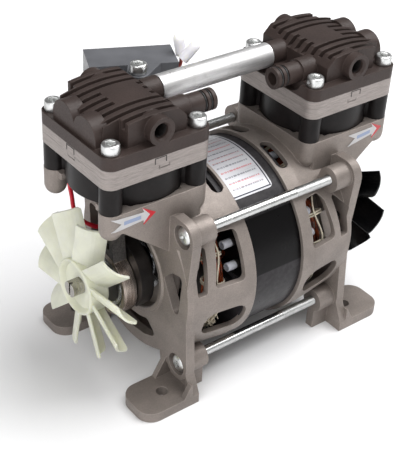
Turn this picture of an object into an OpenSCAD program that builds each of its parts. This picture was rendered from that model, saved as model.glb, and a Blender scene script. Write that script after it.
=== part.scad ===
// Twin-cylinder oil-free rocking-piston vacuum pump with an open-frame motor.
// Millimetres. X runs along the shaft, the intake end is at -X, Z is up and z = 0 is the mounting plane.
// Both pump ends are one set of parts: the second end is the first turned half a turn about Z.

/* [Mounting feet] */
// Height of the shaft axis above the mounting plane
shaft_height = 67; // [62:0.5:74]
// Distance of each foot hole from the middle of the pump, along the shaft
foot_hole_x = 75; // [70:0.5:82]
// Distance of each foot hole from the shaft's vertical plane
foot_hole_y = 47.5; // [44:0.5:52]
// Diameter of the foot holes
foot_hole_d = 7.2; // [5.5:0.1:9]
// Thickness of a foot
foot_t = 6.5; // [5:0.5:9]
// Width of a foot across the pump
foot_w = 29; // [24:1:34]
// Length of a foot beyond its hole
foot_nose = 21; // [14:0.5:24]
// Radius of a foot's two free corners
foot_corner_r = 10; // [4:0.5:12]

/* [Motor] */
// Length of the laminated stator stack
stator_len = 49; // [40:1:60]
// Outer diameter of the stator stack
stator_d = 116; // [112:1:120]
// Diameter of the stator bore
stator_bore_d = 66; // [60:1:72]
// Air gap between the rotor and the stator
air_gap = 0.4; // [0.3:0.1:0.8]
// Number of stator slots
stator_slots = 24; // [18:6:36]
// Depth of a stator slot
slot_depth = 12; // [8:0.5:16]
// Width of a stator slot
slot_w = 3.6; // [2.5:0.1:4.5]
// Length of the stack that each end bracket grips
stator_grip = 6; // [4:0.5:9]
// Length of the rotor's cast end rings
rotor_ring_len = 5; // [3:0.5:8]
// Wall of the bracket's ring over the stator
ring_wall = 2.5; // [2:0.5:4]
// Wall of the bracket's drum
drum_wall = 3.5; // [3:0.5:4.5]
// Narrowing of the drum from the stator to the face, on the radius
drum_taper = 4; // [2:0.5:5]

/* [Tie bolts] */
// Offset of each tie bolt from the shaft axis, sideways and in height
tie_offset = 46; // [45:0.5:50]
// Diameter of the tie bolts
tie_d = 6; // [5:0.5:8]
// Clearance of a tie bolt in its hole, on the radius
tie_clear = 0.3; // [0.2:0.05:0.5]
// Radius of the ears at the ends of the tie bolts
ear_r = 10; // [9:0.25:11]
// Outer radius of the bosses that hold the tie bolts
tie_boss_r = 8; // [7:0.25:9]
// Length of those bosses, from the bracket's face inwards
tie_boss_len = 18.4; // [14:0.2:24]
// Radius of the counterbore for a bolt head
tie_cbore_r = 7.2; // [6.8:0.1:7.6]
// Depth of that counterbore
tie_cbore_depth = 4.5; // [3:0.5:6]
// Radius of a tie bolt's pan head
tie_head_r = 6; // [5:0.25:7]
// Height of a tie bolt's pan head
tie_head_h = 4.6; // [3:0.2:6]

/* [End bracket] */
// Distance of the bracket's outer face from the middle of the pump
face_x = 64; // [60:0.5:68]
// Thickness of the bracket's face plate
face_t = 6; // [4:0.5:8]
// Radius of the round crank opening in the face
crank_open_r = 27; // [25:0.5:30]
// Wall of the crank opening's rim
crank_rim = 4; // [3:0.5:6]
// Height of that rim over the face
crank_rim_proud = 1; // [0.5:0.5:2]
// Depth of the crank pocket behind the face
crank_pocket = 7; // [5:0.5:9]
// Thickness of the web that carries the bearing
bearing_web_t = 5; // [3:0.5:8]
// Inner radius of the triangular windows in the face
window_r_in = 32; // [29:0.5:36]
// Outer radius of the windows in the face
window_r_out = 52; // [48:0.5:54]
// Radius that rounds the corners of the windows
window_fillet = 3; // [1.5:0.5:4]
// Distance from the middle at which the side openings begin
side_open_x = 26.5; // [25:0.5:30]
// Angle below the horizontal of the rib between the side openings, lower edge
rib_low_deg = 7; // [5:0.5:9]
// Angle above the horizontal of that rib, upper edge
rib_high_deg = 9.5; // [8:0.5:14]
// Angle at which the upper side opening ends
side_open_top_deg = 40; // [34:0.5:42]
// Width of the slanting strut across the upper side opening
strut_w = 5; // [4:0.5:8]
// Angle at which the lower side slot ends
side_slot_low_deg = 25; // [20:0.5:28]
// Width of the oval slots over the winding, along the shaft
top_slot_w = 8.5; // [6:0.5:10]
// Angle that each oval slot spans
top_slot_deg = 22; // [16:1:28]

/* [Cylinder deck] */
// Distance of each cylinder axis from the middle of the pump
cyl_x = 71; // [68:0.5:76]
// Height of the deck that the cylinder posts stand on
deck_z = 133.5; // [131:0.5:138]
// Half the width of the square deck, plates and heads
deck_half = 34.5; // [34:0.5:37]
// Radius of their corners
corner_r = 6.5; // [5:0.5:8]
// Thickness of the deck's side walls
hood_wall = 4; // [3:0.5:5]
// Height of the outer deck corners
hood_lip = 12.5; // [10:0.5:16]
// Height over the shaft axis at which the side walls leave the face
hood_root = 30; // [26:0.5:38]

/* [Cylinder] */
// Cylinder bore diameter
bore_d = 56; // [50:1:58]
// Outer diameter of the cylinder barrel
barrel_d = 66; // [64:0.5:67]
// Height of the cylinder posts
cyl_h = 16.5; // [14:0.5:24]
// Length of barrel that reaches into the deck
barrel_drop = 0.9; // [0.5:0.1:2]
// Clearance of the barrel in the deck, on the radius
barrel_clear = 0.3; // [0.2:0.05:0.5]
// Radius of the cylinder posts
post_r = 6.3; // [5.5:0.1:7]
// Distance of each head screw from the cylinder axis, both ways
screw_pitch_half = 28; // [27:0.5:30]

/* [Valve plates and head] */
// Thickness of the lower valve plate
plate_low_t = 6.5; // [5:0.5:9]
// Thickness of the upper chamber plate
plate_up_t = 5; // [4:0.5:8]
// Thickness of the head's flange
flange_t = 7.5; // [6:0.5:10]
// Height of the crowned fins over the flange
crown_h = 15.3; // [13:0.5:19]
// Radius of the crown
crown_r = 102; // [90:1:140]
// Distance between neighbouring fins
fin_pitch = 6.2; // [6:0.1:6.4]
// Width of the slots between the fins
fin_slot = 3; // [2.4:0.1:3.6]
// Depth of the fin slots below the crown
fin_depth = 6.5; // [4:0.5:8]
// Half the width of the plain pad in the middle of the head
pad_half = 11.5; // [8:0.5:14]
// Radius of the threaded port's boss
port_boss_r = 8; // [7:0.25:9]
// Wall radius of the port's threaded hole
port_r = 4.4; // [3.6:0.1:5.2]
// Depth of the port
port_depth = 13; // [10:0.5:15]
// Height of the ports over the head's flange
port_rise = 7; // [6:0.2:8.5]
// Height of the stubs over the head's flange
stub_rise = 3.5; // [3:0.25:6]
// Distance of the two stubs from the head's middle plane
stub_y = 13.2; // [11:0.2:14]
// Outer radius of a stub
stub_r = 6.4; // [6:0.1:6.6]
// Bore radius of a stub
stub_bore_r = 3.8; // [3:0.1:4.2]
// Length of a stub beyond the flange
stub_len = 14; // [12:0.5:18]
// Radius of the collar at a stub's root
collar_r = 7.4; // [7:0.1:8]
// Distance of the collar's end inside the flange's edge
collar_back = 4.5; // [3:0.5:7]
// Outer radius of the blind end bosses
end_boss_r = 10.5; // [10:0.25:11]
// Distance of the blind end bosses from the head's middle plane
end_boss_y = 10.3; // [9.6:0.1:10.9]
// Height of their axes over the head's flange
end_boss_rise = 3.5; // [2:0.5:5]
// Distance of their faces inside the flange's edge
end_boss_back = 2; // [1:0.5:4]
// Outer radius of the transfer tube
tube_r = 7.5; // [7.3:0.1:8]
// Clearance of the transfer tube over a stub, on the radius
tube_clear = 0.15; // [0.1:0.05:0.25]
// Gap between the end of the tube and the collar
tube_end_gap = 0.5; // [0.3:0.1:2]

/* [Head screws] */
// Diameter of the head screws
head_screw_d = 6; // [5:0.5:6]
// Clearance of a head screw in its holes, on the radius
head_screw_clear = 0.3; // [0.2:0.05:0.5]
// Height of a socket screw's head
screw_head_h = 6; // [5:0.5:8]
// Radius of a socket screw's head
screw_head_r = 5; // [4.5:0.1:5.2]
// Width across the flats of a screw's hexagon socket
hex_af = 5; // [3:0.5:5]

/* [Crank and piston] */
// Distance of the rod's plane outboard of the cylinder's axis
rod_offset = 8.5; // [7:0.5:9]
// Crank throw, half of the stroke
throw = 5; // [3:0.5:5]
// Diameter of the shaft in the motor
shaft_d = 17; // [15.5:0.5:20]
// Diameter of the shaft in the main bearings
journal_d = 15; // [13:0.5:15]
// Diameter of the shaft in the eccentrics
crank_seat_d = 12; // [10:0.5:12]
// Diameter of the shaft in the fans
fan_seat_d = 10; // [8:0.5:10]
// Distance of the shaft's tips from the middle of the pump
shaft_tip_x = 108.5; // [106:0.5:112]
// Outer diameter of the main bearings
bearing_od = 35; // [32:1:38]
// Width of the main bearings
bearing_w = 11; // [9:0.5:12]
// Wall of a bearing ring
race_t = 2.8; // [2:0.1:3.2]
// Outer diameter of the eccentric in the rod bearing
eccentric_d = 25; // [24:0.5:28]
// Outer diameter of the rod bearing
rod_bearing_od = 35; // [33:0.5:37]
// Width of the rod bearing
rod_bearing_w = 7; // [5:0.5:9]
// Radius of the counterweight disc
weight_r = 24.5; // [21:0.5:24.5]
// Thickness of the counterweight disc
weight_t = 8.5; // [6:0.5:9]
// Radius of the eccentrics' set screws
set_r = 2; // [1.5:0.1:2.5]
// Length of the eccentrics' set screws
set_len = 9; // [6:0.5:10]
// Wall of the rod's big end round the bearing
big_end_wall = 3; // [2.5:0.1:4]
// Width of the rod along the shaft
rod_w = 9; // [8:0.5:9]
// Thickness of the rod's shank across the pump
rod_shank = 14; // [10:0.5:18]
// Gap between the piston's top and the valve plate at the top of the stroke
top_gap = 1.4; // [1:0.1:3]
// Thickness of the piston's disc below the cup
piston_t = 5; // [4:0.5:7]
// Thickness of the sealing cup
cup_t = 1; // [0.6:0.1:1.2]
// Height of the sealing cup's lip
cup_lip = 4; // [3:0.5:5]
// Thickness of the disc that clamps the cup
retainer_t = 2.6; // [2:0.2:4]
// Clearance of a moving face from the next one
run_clear = 0.4; // [0.3:0.05:0.6]
// Clearance of a shaft in what turns with it, on the radius
fit_clear = 0.02; // [0.01:0.01:0.04]

/* [Fans] */
// Radius of the fan blades' tips
fan_r = 46; // [42:0.5:50]
// Radius of the blades' tips at the front edge
fan_r_front = 44.5; // [40:0.5:46]
// Number of fan blades
fan_blades = 10; // [7:1:11]
// Outer radius of the fan's cup
fan_cup_r = 17.5; // [15:0.5:20]
// Wall of the fan's cup
fan_cup_wall = 1.8; // [1.2:0.2:2.6]
// Distance of the fan cup's front rim from the middle of the pump
fan_front_x = 105.5; // [105:0.5:107]
// Axial depth of the blades
fan_depth = 13; // [9:0.5:13]
// Axial depth of the fan's cup
fan_cup_depth = 15; // [14:0.5:17]
// Thickness of a blade
blade_t = 1.4; // [1:0.1:2]
// Angle between a blade's chord and the shaft
blade_deg = 50; // [40:1:56]
// Radius of a blade's curve
blade_curve_r = 16; // [14:1:30]
// Radius of the fan's hub
fan_hub_r = 8; // [7.5:0.25:9.5]

/* [Windings] */
// Number of loops in each end winding
loops = 12; // [6:3:12]
// Distance between neighbouring loops
loop_pitch = 3.9; // [3.9:0.05:4.2]
// Diameter of the winding's strand
strand_d = 2.2; // [1.8:0.1:2.2]
// Radius of the innermost loop
winding_r = 39.5; // [39:0.5:41]
// Height of the four swells in each end winding
winding_swell = 1.6; // [0.5:0.1:2]
// Gap between the stator and the winding
winding_gap = 0.35; // [0.3:0.05:0.5]
// Width of a lacing band
lacing_w = 2.4; // [1.6:0.2:4]
// Thickness of a lacing band
lacing_t = 0.9; // [0.6:0.1:1.2]
// Number of lacing bands on each end winding
lacings = 8; // [4:4:12]
// Radius of an insulating cap at the stator's end
cap_r = 2.9; // [2:0.1:3]
// Length of an insulating cap
cap_len = 11; // [6:0.5:13]

/* [Capacitor] */
// Length of the capacitor
cap_box_l = 52.5; // [44:0.5:54]
// Width of the capacitor
cap_box_w = 24; // [20:0.5:25]
// Height of the capacitor
cap_box_h = 34; // [28:0.5:40]
// Angle by which the capacitor is turned about the vertical
cap_yaw = -24; // [-26:0.5:-22]
// Distance of the capacitor's middle from the head screw that holds it, along the shaft
cap_dx = 8.6; // [8:0.2:10]
// Distance of the capacitor's middle from that screw, across the shaft
cap_dy = 20.2; // [19.5:0.2:22]
// Thickness of the capacitor's lug
lug_t = 7.4; // [5:0.2:9]
// Radius of the lug round its screw
lug_r = 6.6; // [6:0.1:6.8]
// Radius of a crimp cap
crimp_r = 3.2; // [2.6:0.1:3.4]
// Length of a crimp cap
crimp_len = 14; // [12:0.5:17]
// Diameter of the leads
lead_d = 2.8; // [2.2:0.1:3.2]

/* [Hidden] */
$fn = 48;
axis_z = shaft_height;
eps = 0.01;
stator_half = stator_len / 2;
stator_r = stator_d / 2;
ring_r = stator_r + ring_wall;
drum_in_r = ring_r - drum_wall;
ring_in_x = stator_half - stator_grip;
face_in_x = face_x - face_t;
rim_r = crank_open_r + crank_rim;
pocket_x = face_x - crank_pocket;
web_in_x = pocket_x - bearing_web_t;
bearing_r = bearing_od / 2;
bearing_x1 = pocket_x - 0.5;
bearing_x0 = bearing_x1 - bearing_w;
seat_lip = 1.2;
seat_wall = 4.5;
tie_r = tie_d / 2;
cyl_top = deck_z + cyl_h;
plate_up_z = cyl_top + plate_low_t;
head_z = plate_up_z + plate_up_t;
flange_z = head_z + flange_t;
crown_z = flange_z + crown_h;
port_z = flange_z + port_rise;
stub_z = flange_z + stub_rise;
barrel_r = barrel_d / 2;
bore_r = bore_d / 2;
screw_r = head_screw_d / 2;
screw_hole_r = screw_r + head_screw_clear;
screw_at = [for (sx = [-1, 1]) for (sy = [-1, 1]) [sx * screw_pitch_half, sy * screw_pitch_half]];
rod_x = cyl_x + rod_offset;
rod_x0 = rod_x - rod_w / 2;
rod_x1 = rod_x + rod_w / 2;
weight_x1 = rod_x0 - run_clear;
weight_x0 = weight_x1 - weight_t;
big_end_r = rod_bearing_od / 2 + big_end_wall;
piston_r = bore_r - throw - run_clear;
crown_top = cyl_top - top_gap;
rod_to_top = crown_top - axis_z - throw;
fan_x0 = fan_front_x - fan_cup_depth;
blade_x1 = fan_front_x - 1;
blade_x0 = blade_x1 - fan_depth;
// The rest pose: the intake end's piston is at the bottom of its stroke, the other one at the top.
pin_z_front = axis_z - throw;
pin_z_rear = axis_z + throw;

// A second end is the first one turned about Z, so every end part is drawn once, at the +X end.
module at_front() {
  rotate([0, 0, 180]) children();
}
module disc_x(r, x0, x1, z = axis_z, y = 0) {
  translate([x0, y, z]) rotate([0, 90, 0]) cylinder(r = r, h = x1 - x0);
}
module ring_x(r, r_in, x0, x1, z = axis_z, y = 0) {
  difference() {
    disc_x(r, x0, x1, z, y);
    disc_x(r_in, x0 - 1, x1 + 1, z, y);
  }
}
// A profile of [radius, x] points turned about the shaft axis.
module turn_x(points, z = axis_z) {
  translate([0, 0, z]) rotate([0, 90, 0]) rotate_extrude() polygon(points);
}
// A flat outline in y and z, made solid from x0 to x1.
module prism_x(points, x0, x1, z = axis_z) {
  translate([x0, 0, z]) rotate([90, 0, 90]) linear_extrude(height = x1 - x0) polygon(points);
}
// A flat outline in x and z, made solid from y0 to y1.
module prism_y(points, y0, y1) {
  translate([0, y1, 0]) rotate([90, 0, 0]) linear_extrude(height = y1 - y0) polygon(points);
}
module rounded_plate(half, r, z0, z1) {
  translate([0, 0, z0]) linear_extrude(height = z1 - z0) union() {
    square([2 * half, 2 * (half - r)], center = true);
    square([2 * (half - r), 2 * half], center = true);
    for (sx = [-1, 1]) {
      for (sy = [-1, 1]) {
        translate([sx * (half - r), sy * (half - r)]) circle(r = r);
      }
    }
  }
}
function unit(v) = v / norm(v);
function ang(v) = atan2(v[1], v[0]);
// Corner i of an outline, rounded with radius r in n steps.
function fillet(p, i, r, n) =
  let (a = p[(i + len(p) - 1) % len(p)], b = p[i], c = p[(i + 1) % len(p)],
    u = unit(a - b), v = unit(c - b), half = acos(u * v) / 2, d = r / tan(half),
    m = b + unit(u + v) * r / sin(half), s = ang(b + u * d - m), e = ang(b + v * d - m),
    turn = (e - s + 540) % 360 - 180)
  [for (k = [0:n]) m + r * [cos(s + turn * k / n), sin(s + turn * k / n)]];
function rounded(p, r, n = 4) = [for (i = [0:len(p) - 1]) each fillet(p, i, r, n)];
function polar(r, a) = [r * cos(a), r * sin(a)];

// End bracket, drawn at the +X end
// Profile of the drum, face, crank pocket and bearing seat.
drum_profile = [
  [stator_r, ring_in_x], [ring_r, ring_in_x], [ring_r, side_open_x + 2],
  [ring_r - drum_taper, face_x - 2.5], [ring_r - drum_taper - 2, face_x], [rim_r, face_x], [rim_r - 0.8, face_x + crank_rim_proud],
  [crank_open_r + 0.8, face_x + crank_rim_proud], [crank_open_r, face_x],
  [crank_open_r, pocket_x], [bearing_r, pocket_x], [bearing_r, bearing_x0],
  [bearing_r - 2.5, bearing_x0], [bearing_r - 2.5, bearing_x0 - seat_lip],
  [bearing_r + seat_wall, bearing_x0 - seat_lip], [bearing_r + seat_wall, web_in_x],
  [rim_r, web_in_x], [rim_r, face_in_x], [drum_in_r - drum_taper, face_in_x],
  [drum_in_r, side_open_x + 2], [drum_in_r, stator_half], [stator_r, stator_half]];
window_top_deg = 23;
window_low_deg = -20;
side_window = rounded([polar(window_r_in, window_top_deg - 6), polar(window_r_out - 10, window_top_deg + 1),
  polar(window_r_out, window_top_deg - 1), polar(window_r_out - 4, window_low_deg)], window_fillet);
low_window_half_deg = 33;
low_window_in = window_r_in + 3;
low_window_out = window_r_out - 5;
// Openings in the drum's side, seen from the side: height over the shaft axis at an angle on the drum.
function side_z(a) = axis_z + ring_r * sin(a);
open_top_z = side_z(side_open_top_deg);
open_low_z = side_z(rib_high_deg);
open_mid_x = (side_open_x + face_in_x) / 2;
upper_window = rounded([[side_open_x, open_low_z], [open_mid_x + 5, open_low_z], [open_mid_x, open_top_z - 5],
  [open_mid_x - 4, open_top_z], [side_open_x, open_top_z]], window_fillet);
outer_window = rounded([[open_mid_x + 5 + strut_w, open_low_z - 2], [face_in_x + 0.5, open_low_z - 2],
  [face_in_x + 0.5, open_top_z - 12], [open_mid_x + strut_w + 1, open_top_z - 2]], window_fillet / 2);
slot_top_z = side_z(-rib_low_deg);
slot_low_z = side_z(-side_slot_low_deg);
slot_round = (slot_top_z - slot_low_z) / 2 - 1;
side_slot = rounded([[ring_in_x + 5, slot_low_z], [face_in_x - 5, slot_low_z], [face_in_x - 5, slot_top_z],
  [ring_in_x + 5, slot_top_z]], slot_round, 8);

module side_openings() {
  for (points = [upper_window, outer_window, side_slot]) {
    prism_y(points, -ring_r - 5, -rim_r - 2);
    prism_y(points, rim_r + 2, ring_r + 5);
  }
}
module ring_slot(a) {
  // An oval slot through the drum's wall, across the angle a.
  reach = ring_r * sin(top_slot_deg / 2);
  slot_x = ring_in_x + 2 + top_slot_w / 2;
  translate([slot_x, 0, axis_z]) rotate([a - 90, 0, 0]) translate([0, 0, drum_in_r - 12]) {
    linear_extrude(height = drum_wall + ring_wall + 14) union() {
      square([top_slot_w, 2 * reach - top_slot_w], center = true);
      for (s = [-1, 1]) {
        translate([0, s * (reach - top_slot_w / 2)]) circle(d = top_slot_w);
      }
    }
  }
}
// Deck side wall: level on top, sloping from the outer corner down to the face.
wall_profile = [
  [cyl_x - deck_half + corner_r, deck_z], [cyl_x + deck_half - corner_r, deck_z],
  [cyl_x + deck_half - corner_r, deck_z - hood_lip], [cyl_x + deck_half - corner_r - 4, deck_z - hood_lip],
  [face_x, axis_z + hood_root], [face_in_x, axis_z + hood_root],
  [face_in_x, axis_z + tie_offset - ear_r], [cyl_x - deck_half + corner_r, axis_z + tie_offset - ear_r]];

module deck() {
  difference() {
    union() {
      for (s = [-1, 1]) {
        prism_y(wall_profile, s * deck_half - (s > 0 ? hood_wall : 0), s * deck_half + (s > 0 ? 0 : hood_wall));
      }
      // Inner wall across the pump, over the drum
      translate([cyl_x - deck_half, corner_r - deck_half, axis_z + drum_in_r - 4])
        cube([hood_wall, 2 * (deck_half - corner_r), deck_z - axis_z - drum_in_r + 4]);
      for (p = screw_at) {
        translate([cyl_x + p[0], p[1], 0]) {
          translate([0, 0, deck_z - hood_lip + 1]) cylinder(r = corner_r, h = hood_lip - 1);
          translate([0, 0, deck_z - hood_lip + 1]) sphere(r = corner_r);
        }
      }
      // Fillet plates in the deck's corners
      for (sx = [-1, 1]) {
        for (sy = [-1, 1]) {
          translate([cyl_x + sx * (deck_half - corner_r - 4), sy * (deck_half - corner_r - 4), deck_z - 2])
            cube([13, 13, 4], center = true);
        }
      }
    }
    translate([cyl_x, 0, deck_z - barrel_drop - barrel_clear]) cylinder(r = barrel_r + barrel_clear, h = 20);
    translate([cyl_x, 0, deck_z - 40]) cylinder(r = bore_r + 1, h = 60);
    disc_x(drum_in_r, ring_in_x, face_in_x);
  }
}
// Leg and foot; s is the side. The leg is an upright plate that goes on from the face.
leg_y = tie_offset + ear_r;
foot_in_y = foot_hole_y - foot_w / 2;
foot_out_y = foot_hole_y + foot_w / 2;
gusset_t = 3.5;
module foot(s) {
  y0 = s * foot_hole_y;
  difference() {
    union() {
      linear_extrude(height = foot_t) union() {
        translate([face_in_x, y0 - foot_w / 2])
          square([foot_hole_x + foot_nose - foot_corner_r - face_in_x, foot_w]);
        translate([foot_hole_x, y0 - foot_w / 2 + foot_corner_r])
          square([foot_nose, foot_w - 2 * foot_corner_r]);
        for (t = [-1, 1]) {
          translate([foot_hole_x + foot_nose - foot_corner_r, y0 + t * (foot_w / 2 - foot_corner_r)])
            circle(r = foot_corner_r);
        }
      }
      // Leg plate: its outer edge runs down from the upper ear, waisted in the middle
      prism_x([[s * foot_in_y, 0], [s * foot_out_y, 0], [s * foot_out_y, foot_t],
        [s * leg_y, axis_z - tie_offset - 2], [s * leg_y, axis_z - tie_offset + 3],
        [s * (leg_y - 2.5), axis_z - 10], [s * (leg_y - 3), axis_z + 12], [s * leg_y, axis_z + tie_offset - 2],
        [s * (tie_offset - 4), axis_z + tie_offset - 4], [s * window_r_out, axis_z + 18],
        [s * (window_r_out - 0.5), axis_z - 16], [s * (tie_offset - 8), axis_z - tie_offset + 8],
        [s * (foot_in_y - 4), axis_z - tie_offset + 1], [s * (foot_in_y - 3), foot_t + 10]], face_in_x, face_x, 0);
      // Rib from the boss to the ground, behind the leg
      translate([face_x - tie_boss_len, s * tie_offset - 3, 0]) cube([tie_boss_len - 1, 6, axis_z - tie_offset]);
      // Gussets from the leg out onto the foot, inner one taller
      for (g = [[foot_in_y, 14, 8], [foot_out_y - gusset_t, 9, 5]]) {
        translate([0, s > 0 ? g[0] : -g[0] - gusset_t, 0]) prism_y([[face_x - 1, 0], [face_x + g[2], 0],
          [face_x + g[2], foot_t], [face_x, foot_t + g[1]], [face_x - 1, foot_t + g[1]]], 0, gusset_t);
      }
    }
    translate([foot_hole_x, y0, -1]) cylinder(d = foot_hole_d, h = foot_t + 2);
    // Pocket under the boss, between the gussets
    translate([face_x - 3.5, s > 0 ? foot_in_y + gusset_t : -foot_out_y + gusset_t + 3, foot_t])
      cube([5, foot_w - 2 * gusset_t - 3, axis_z - tie_offset - foot_t - 5]);
  }
}
module bracket(tapped) {
  difference() {
    union() {
      difference() {
        union() {
          turn_x(drum_profile);
          for (sy = [-1, 1]) {
            foot(sy);
          }
        }
        side_openings();
        for (a = [72, 108, 252, 288]) {
          ring_slot(a);
        }
        // Windows of the face
        prism_x(side_window, face_in_x - 1, face_x + 1);
        prism_x([for (p = side_window) [-p[0], p[1]]], face_in_x - 1, face_x + 1);
        prism_x(rounded(concat([for (a = [-1, -0.5, 0, 0.5, 1]) polar(low_window_out, a * low_window_half_deg - 90)],
          [for (a = [1, 0.5, 0, -0.5, -1]) polar(low_window_in, a * low_window_half_deg * 0.8 - 90)]),
          window_fillet, 3), face_in_x - 1, face_x + 1);
      }
      for (sy = [-1, 1]) {
        for (sz = [-1, 1]) {
          y = sy * tie_offset;
          z = axis_z + sz * tie_offset;
          disc_x(tie_boss_r, face_x - tie_boss_len, face_x - 1, z, y);
          disc_x(ear_r, face_in_x, face_x, z, y);
        }
        // Ear between the upper boss and the deck's wall
        prism_x([[sy * (deck_half - hood_wall), hood_root + 4], [sy * (deck_half - hood_wall), tie_offset + ear_r - 5],
          [sy * (deck_half + 4), tie_offset + ear_r], [sy * tie_offset, tie_offset + ear_r],
          [sy * tie_offset, tie_offset - ear_r]], face_in_x, face_x);
      }
      deck();
    }
    for (sy = [-1, 1]) {
      for (sz = [-1, 1]) {
        y = sy * tie_offset;
        z = axis_z + sz * tie_offset;
        disc_x(tie_r + tie_clear, face_x - tie_boss_len - 1, face_x + 1, z, y);
        if (!tapped) {
          disc_x(tie_cbore_r, face_x - tie_cbore_depth, face_x + 4, z, y);
        }
      }
    }
    // The stator's seat and the winding's space stay clear of legs and bosses
    disc_x(stator_r, ring_in_x - 1, stator_half);
    disc_x(drum_in_r - drum_taper, stator_half, face_in_x);
    for (p = screw_at) {
      translate([cyl_x + p[0], p[1], deck_z - hood_lip - 2]) cylinder(r = screw_hole_r, h = hood_lip + 3);
    }
    translate([cyl_x, 0, deck_z - barrel_drop - barrel_clear]) cylinder(r = barrel_r + barrel_clear, h = 20);
    piston_room();
  }
  bearing_carrier();
}
// What the piston and its ribs sweep at the bottom of their stroke, where the drum would reach it.
piston_low_z = pin_z_front + rod_to_top - retainer_t - cup_t - piston_t;
module piston_room() {
  translate([cyl_x, 0, piston_low_z - run_clear]) cylinder(r = bore_r + 1, h = max(1, deck_z - piston_low_z));
  prism_y([for (q = rod_rib) [cyl_x + q[0] + sign(q[0] - rod_offset) * run_clear, piston_low_z + q[1] - run_clear]],
    -rod_shank / 2 - 1, rod_shank / 2 + 1);
}
// The bearing's seat and its web, put back after the winding's space is cut.
module bearing_carrier() {
  turn_x([[bearing_r, pocket_x], [bearing_r, bearing_x0], [bearing_r - 2.5, bearing_x0],
    [bearing_r - 2.5, bearing_x0 - seat_lip], [bearing_r + seat_wall, bearing_x0 - seat_lip],
    [bearing_r + seat_wall, web_in_x], [rim_r, web_in_x], [rim_r, face_in_x + 0.5],
    [crank_open_r, face_in_x + 0.5], [crank_open_r, pocket_x]]);
}
module front_bracket() {
  color([0.6, 0.57, 0.54]) at_front() bracket(false);
}
module rear_bracket() {
  color([0.6, 0.57, 0.54]) bracket(true);
}

// Motor
module stator_core() {
  color([0.13, 0.13, 0.14]) difference() {
    disc_x(stator_r - 0.1, -stator_half + 0.1, stator_half - 0.1);
    disc_x(stator_bore_d / 2, -stator_half - 1, stator_half + 1);
    for (i = [0:stator_slots - 1]) {
      translate([0, 0, axis_z]) rotate([i * 360 / stator_slots, 0, 0])
        translate([-stator_half - 1, -slot_w / 2, 0]) cube([stator_len + 2, slot_w, stator_bore_d / 2 + slot_depth]);
    }
  }
}
// The winding is one strand. It runs round the shaft, and in a short arc steps to its next place in
// the bundle: three places outwards, then one further from the stator, and back.
strand_r = strand_d / 2;
lanes = 3;
function lane_of(k) = let (row = floor(k / lanes), c = k % lanes) [row % 2 == 0 ? c : lanes - 1 - c, row];
function place(t) = let (k = floor(t), f = t - k, g = min(1, max(0, (f - 0.8) / 0.2)), s = g * g * (3 - 2 * g),
  a = lane_of(min(k, loops - 1)), b = lane_of(min(k + 1, loops - 1))) a + (b - a) * s;
ring_sides = 6;
rings_per_loop = 24;
strand_rings = loops * rings_per_loop - 2;
winding_x = stator_half + winding_gap + strand_r;
function spine(i) = let (t = i / rings_per_loop, p = place(t), a = 360 * t,
  r = winding_r + p[0] * loop_pitch + winding_swell * cos(4 * a))
  [winding_x + p[1] * loop_pitch, -r * cos(a), r * sin(a)];
function axial(a) = [1, 0, 0];
function radial(i) = let (a = 360 * i / rings_per_loop) [0, -cos(a), sin(a)];
spine_points = [for (i = [0:strand_rings]) spine(i)];
strand_points = [for (i = [0:strand_rings]) for (j = [0:ring_sides - 1])
  spine_points[i] + strand_r * (cos(360 * j / ring_sides) * radial(i) + sin(360 * j / ring_sides) * axial(i))];
strand_sides = [for (i = [0:strand_rings - 1]) for (j = [0:ring_sides - 1])
  let (a = i * ring_sides + j, b = i * ring_sides + (j + 1) % ring_sides, c = b + ring_sides, d = a + ring_sides)
  each [[a, b, c], [a, c, d]]];
strand_ends = [for (j = [1:ring_sides - 2]) each [[0, j + 1, j],
  [strand_rings * ring_sides, strand_rings * ring_sides + j, strand_rings * ring_sides + j + 1]]];
// Least distance between points of the strand at least half a loop apart, less its own thickness.
strand_gap = min([for (i = [0:3:strand_rings]) for (j = [i + 12:1:strand_rings])
  norm(spine_points[i] - spine_points[j])]) - strand_d;
echo(winding_least_gap = strand_gap);

module winding() {
  translate([0, 0, axis_z]) polyhedron(points = strand_points, faces = concat(strand_sides, strand_ends), convexity = 10);
}
module front_winding() {
  color([0.72, 0.36, 0.16]) at_front() winding();
}
module rear_winding() {
  color([0.5, 0.22, 0.12]) winding();
}
rows = ceil(loops / lanes);
band_gap = 0.3;
module lacing() {
  // Bands at the crests and dips of the swells, where the strand runs square to them.
  x0 = winding_x - strand_r - winding_gap + 0.05;
  x1 = winding_x + (rows - 1) * loop_pitch + strand_r + band_gap;
  for (i = [0:lacings - 1]) {
    a = i * 360 / lacings + 45;
    r0 = winding_r + winding_swell * cos(4 * a) - strand_r - band_gap - 0.25;
    r1 = winding_r + winding_swell * cos(4 * a) + (lanes - 1) * loop_pitch + strand_r + band_gap;
    translate([0, 0, axis_z]) rotate([a, 0, 0]) difference() {
      translate([x0, -lacing_w / 2, r0 - lacing_t]) cube([x1 - x0 + lacing_t, lacing_w, r1 - r0 + 2 * lacing_t]);
      translate([x0 - 1, -lacing_w, r0]) cube([x1 - x0 + 1, 2 * lacing_w, r1 - r0]);
    }
  }
}
module front_lacing() {
  color([0.9, 0.88, 0.82]) at_front() lacing();
}
module rear_lacing() {
  color([0.9, 0.88, 0.82]) lacing();
}
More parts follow.
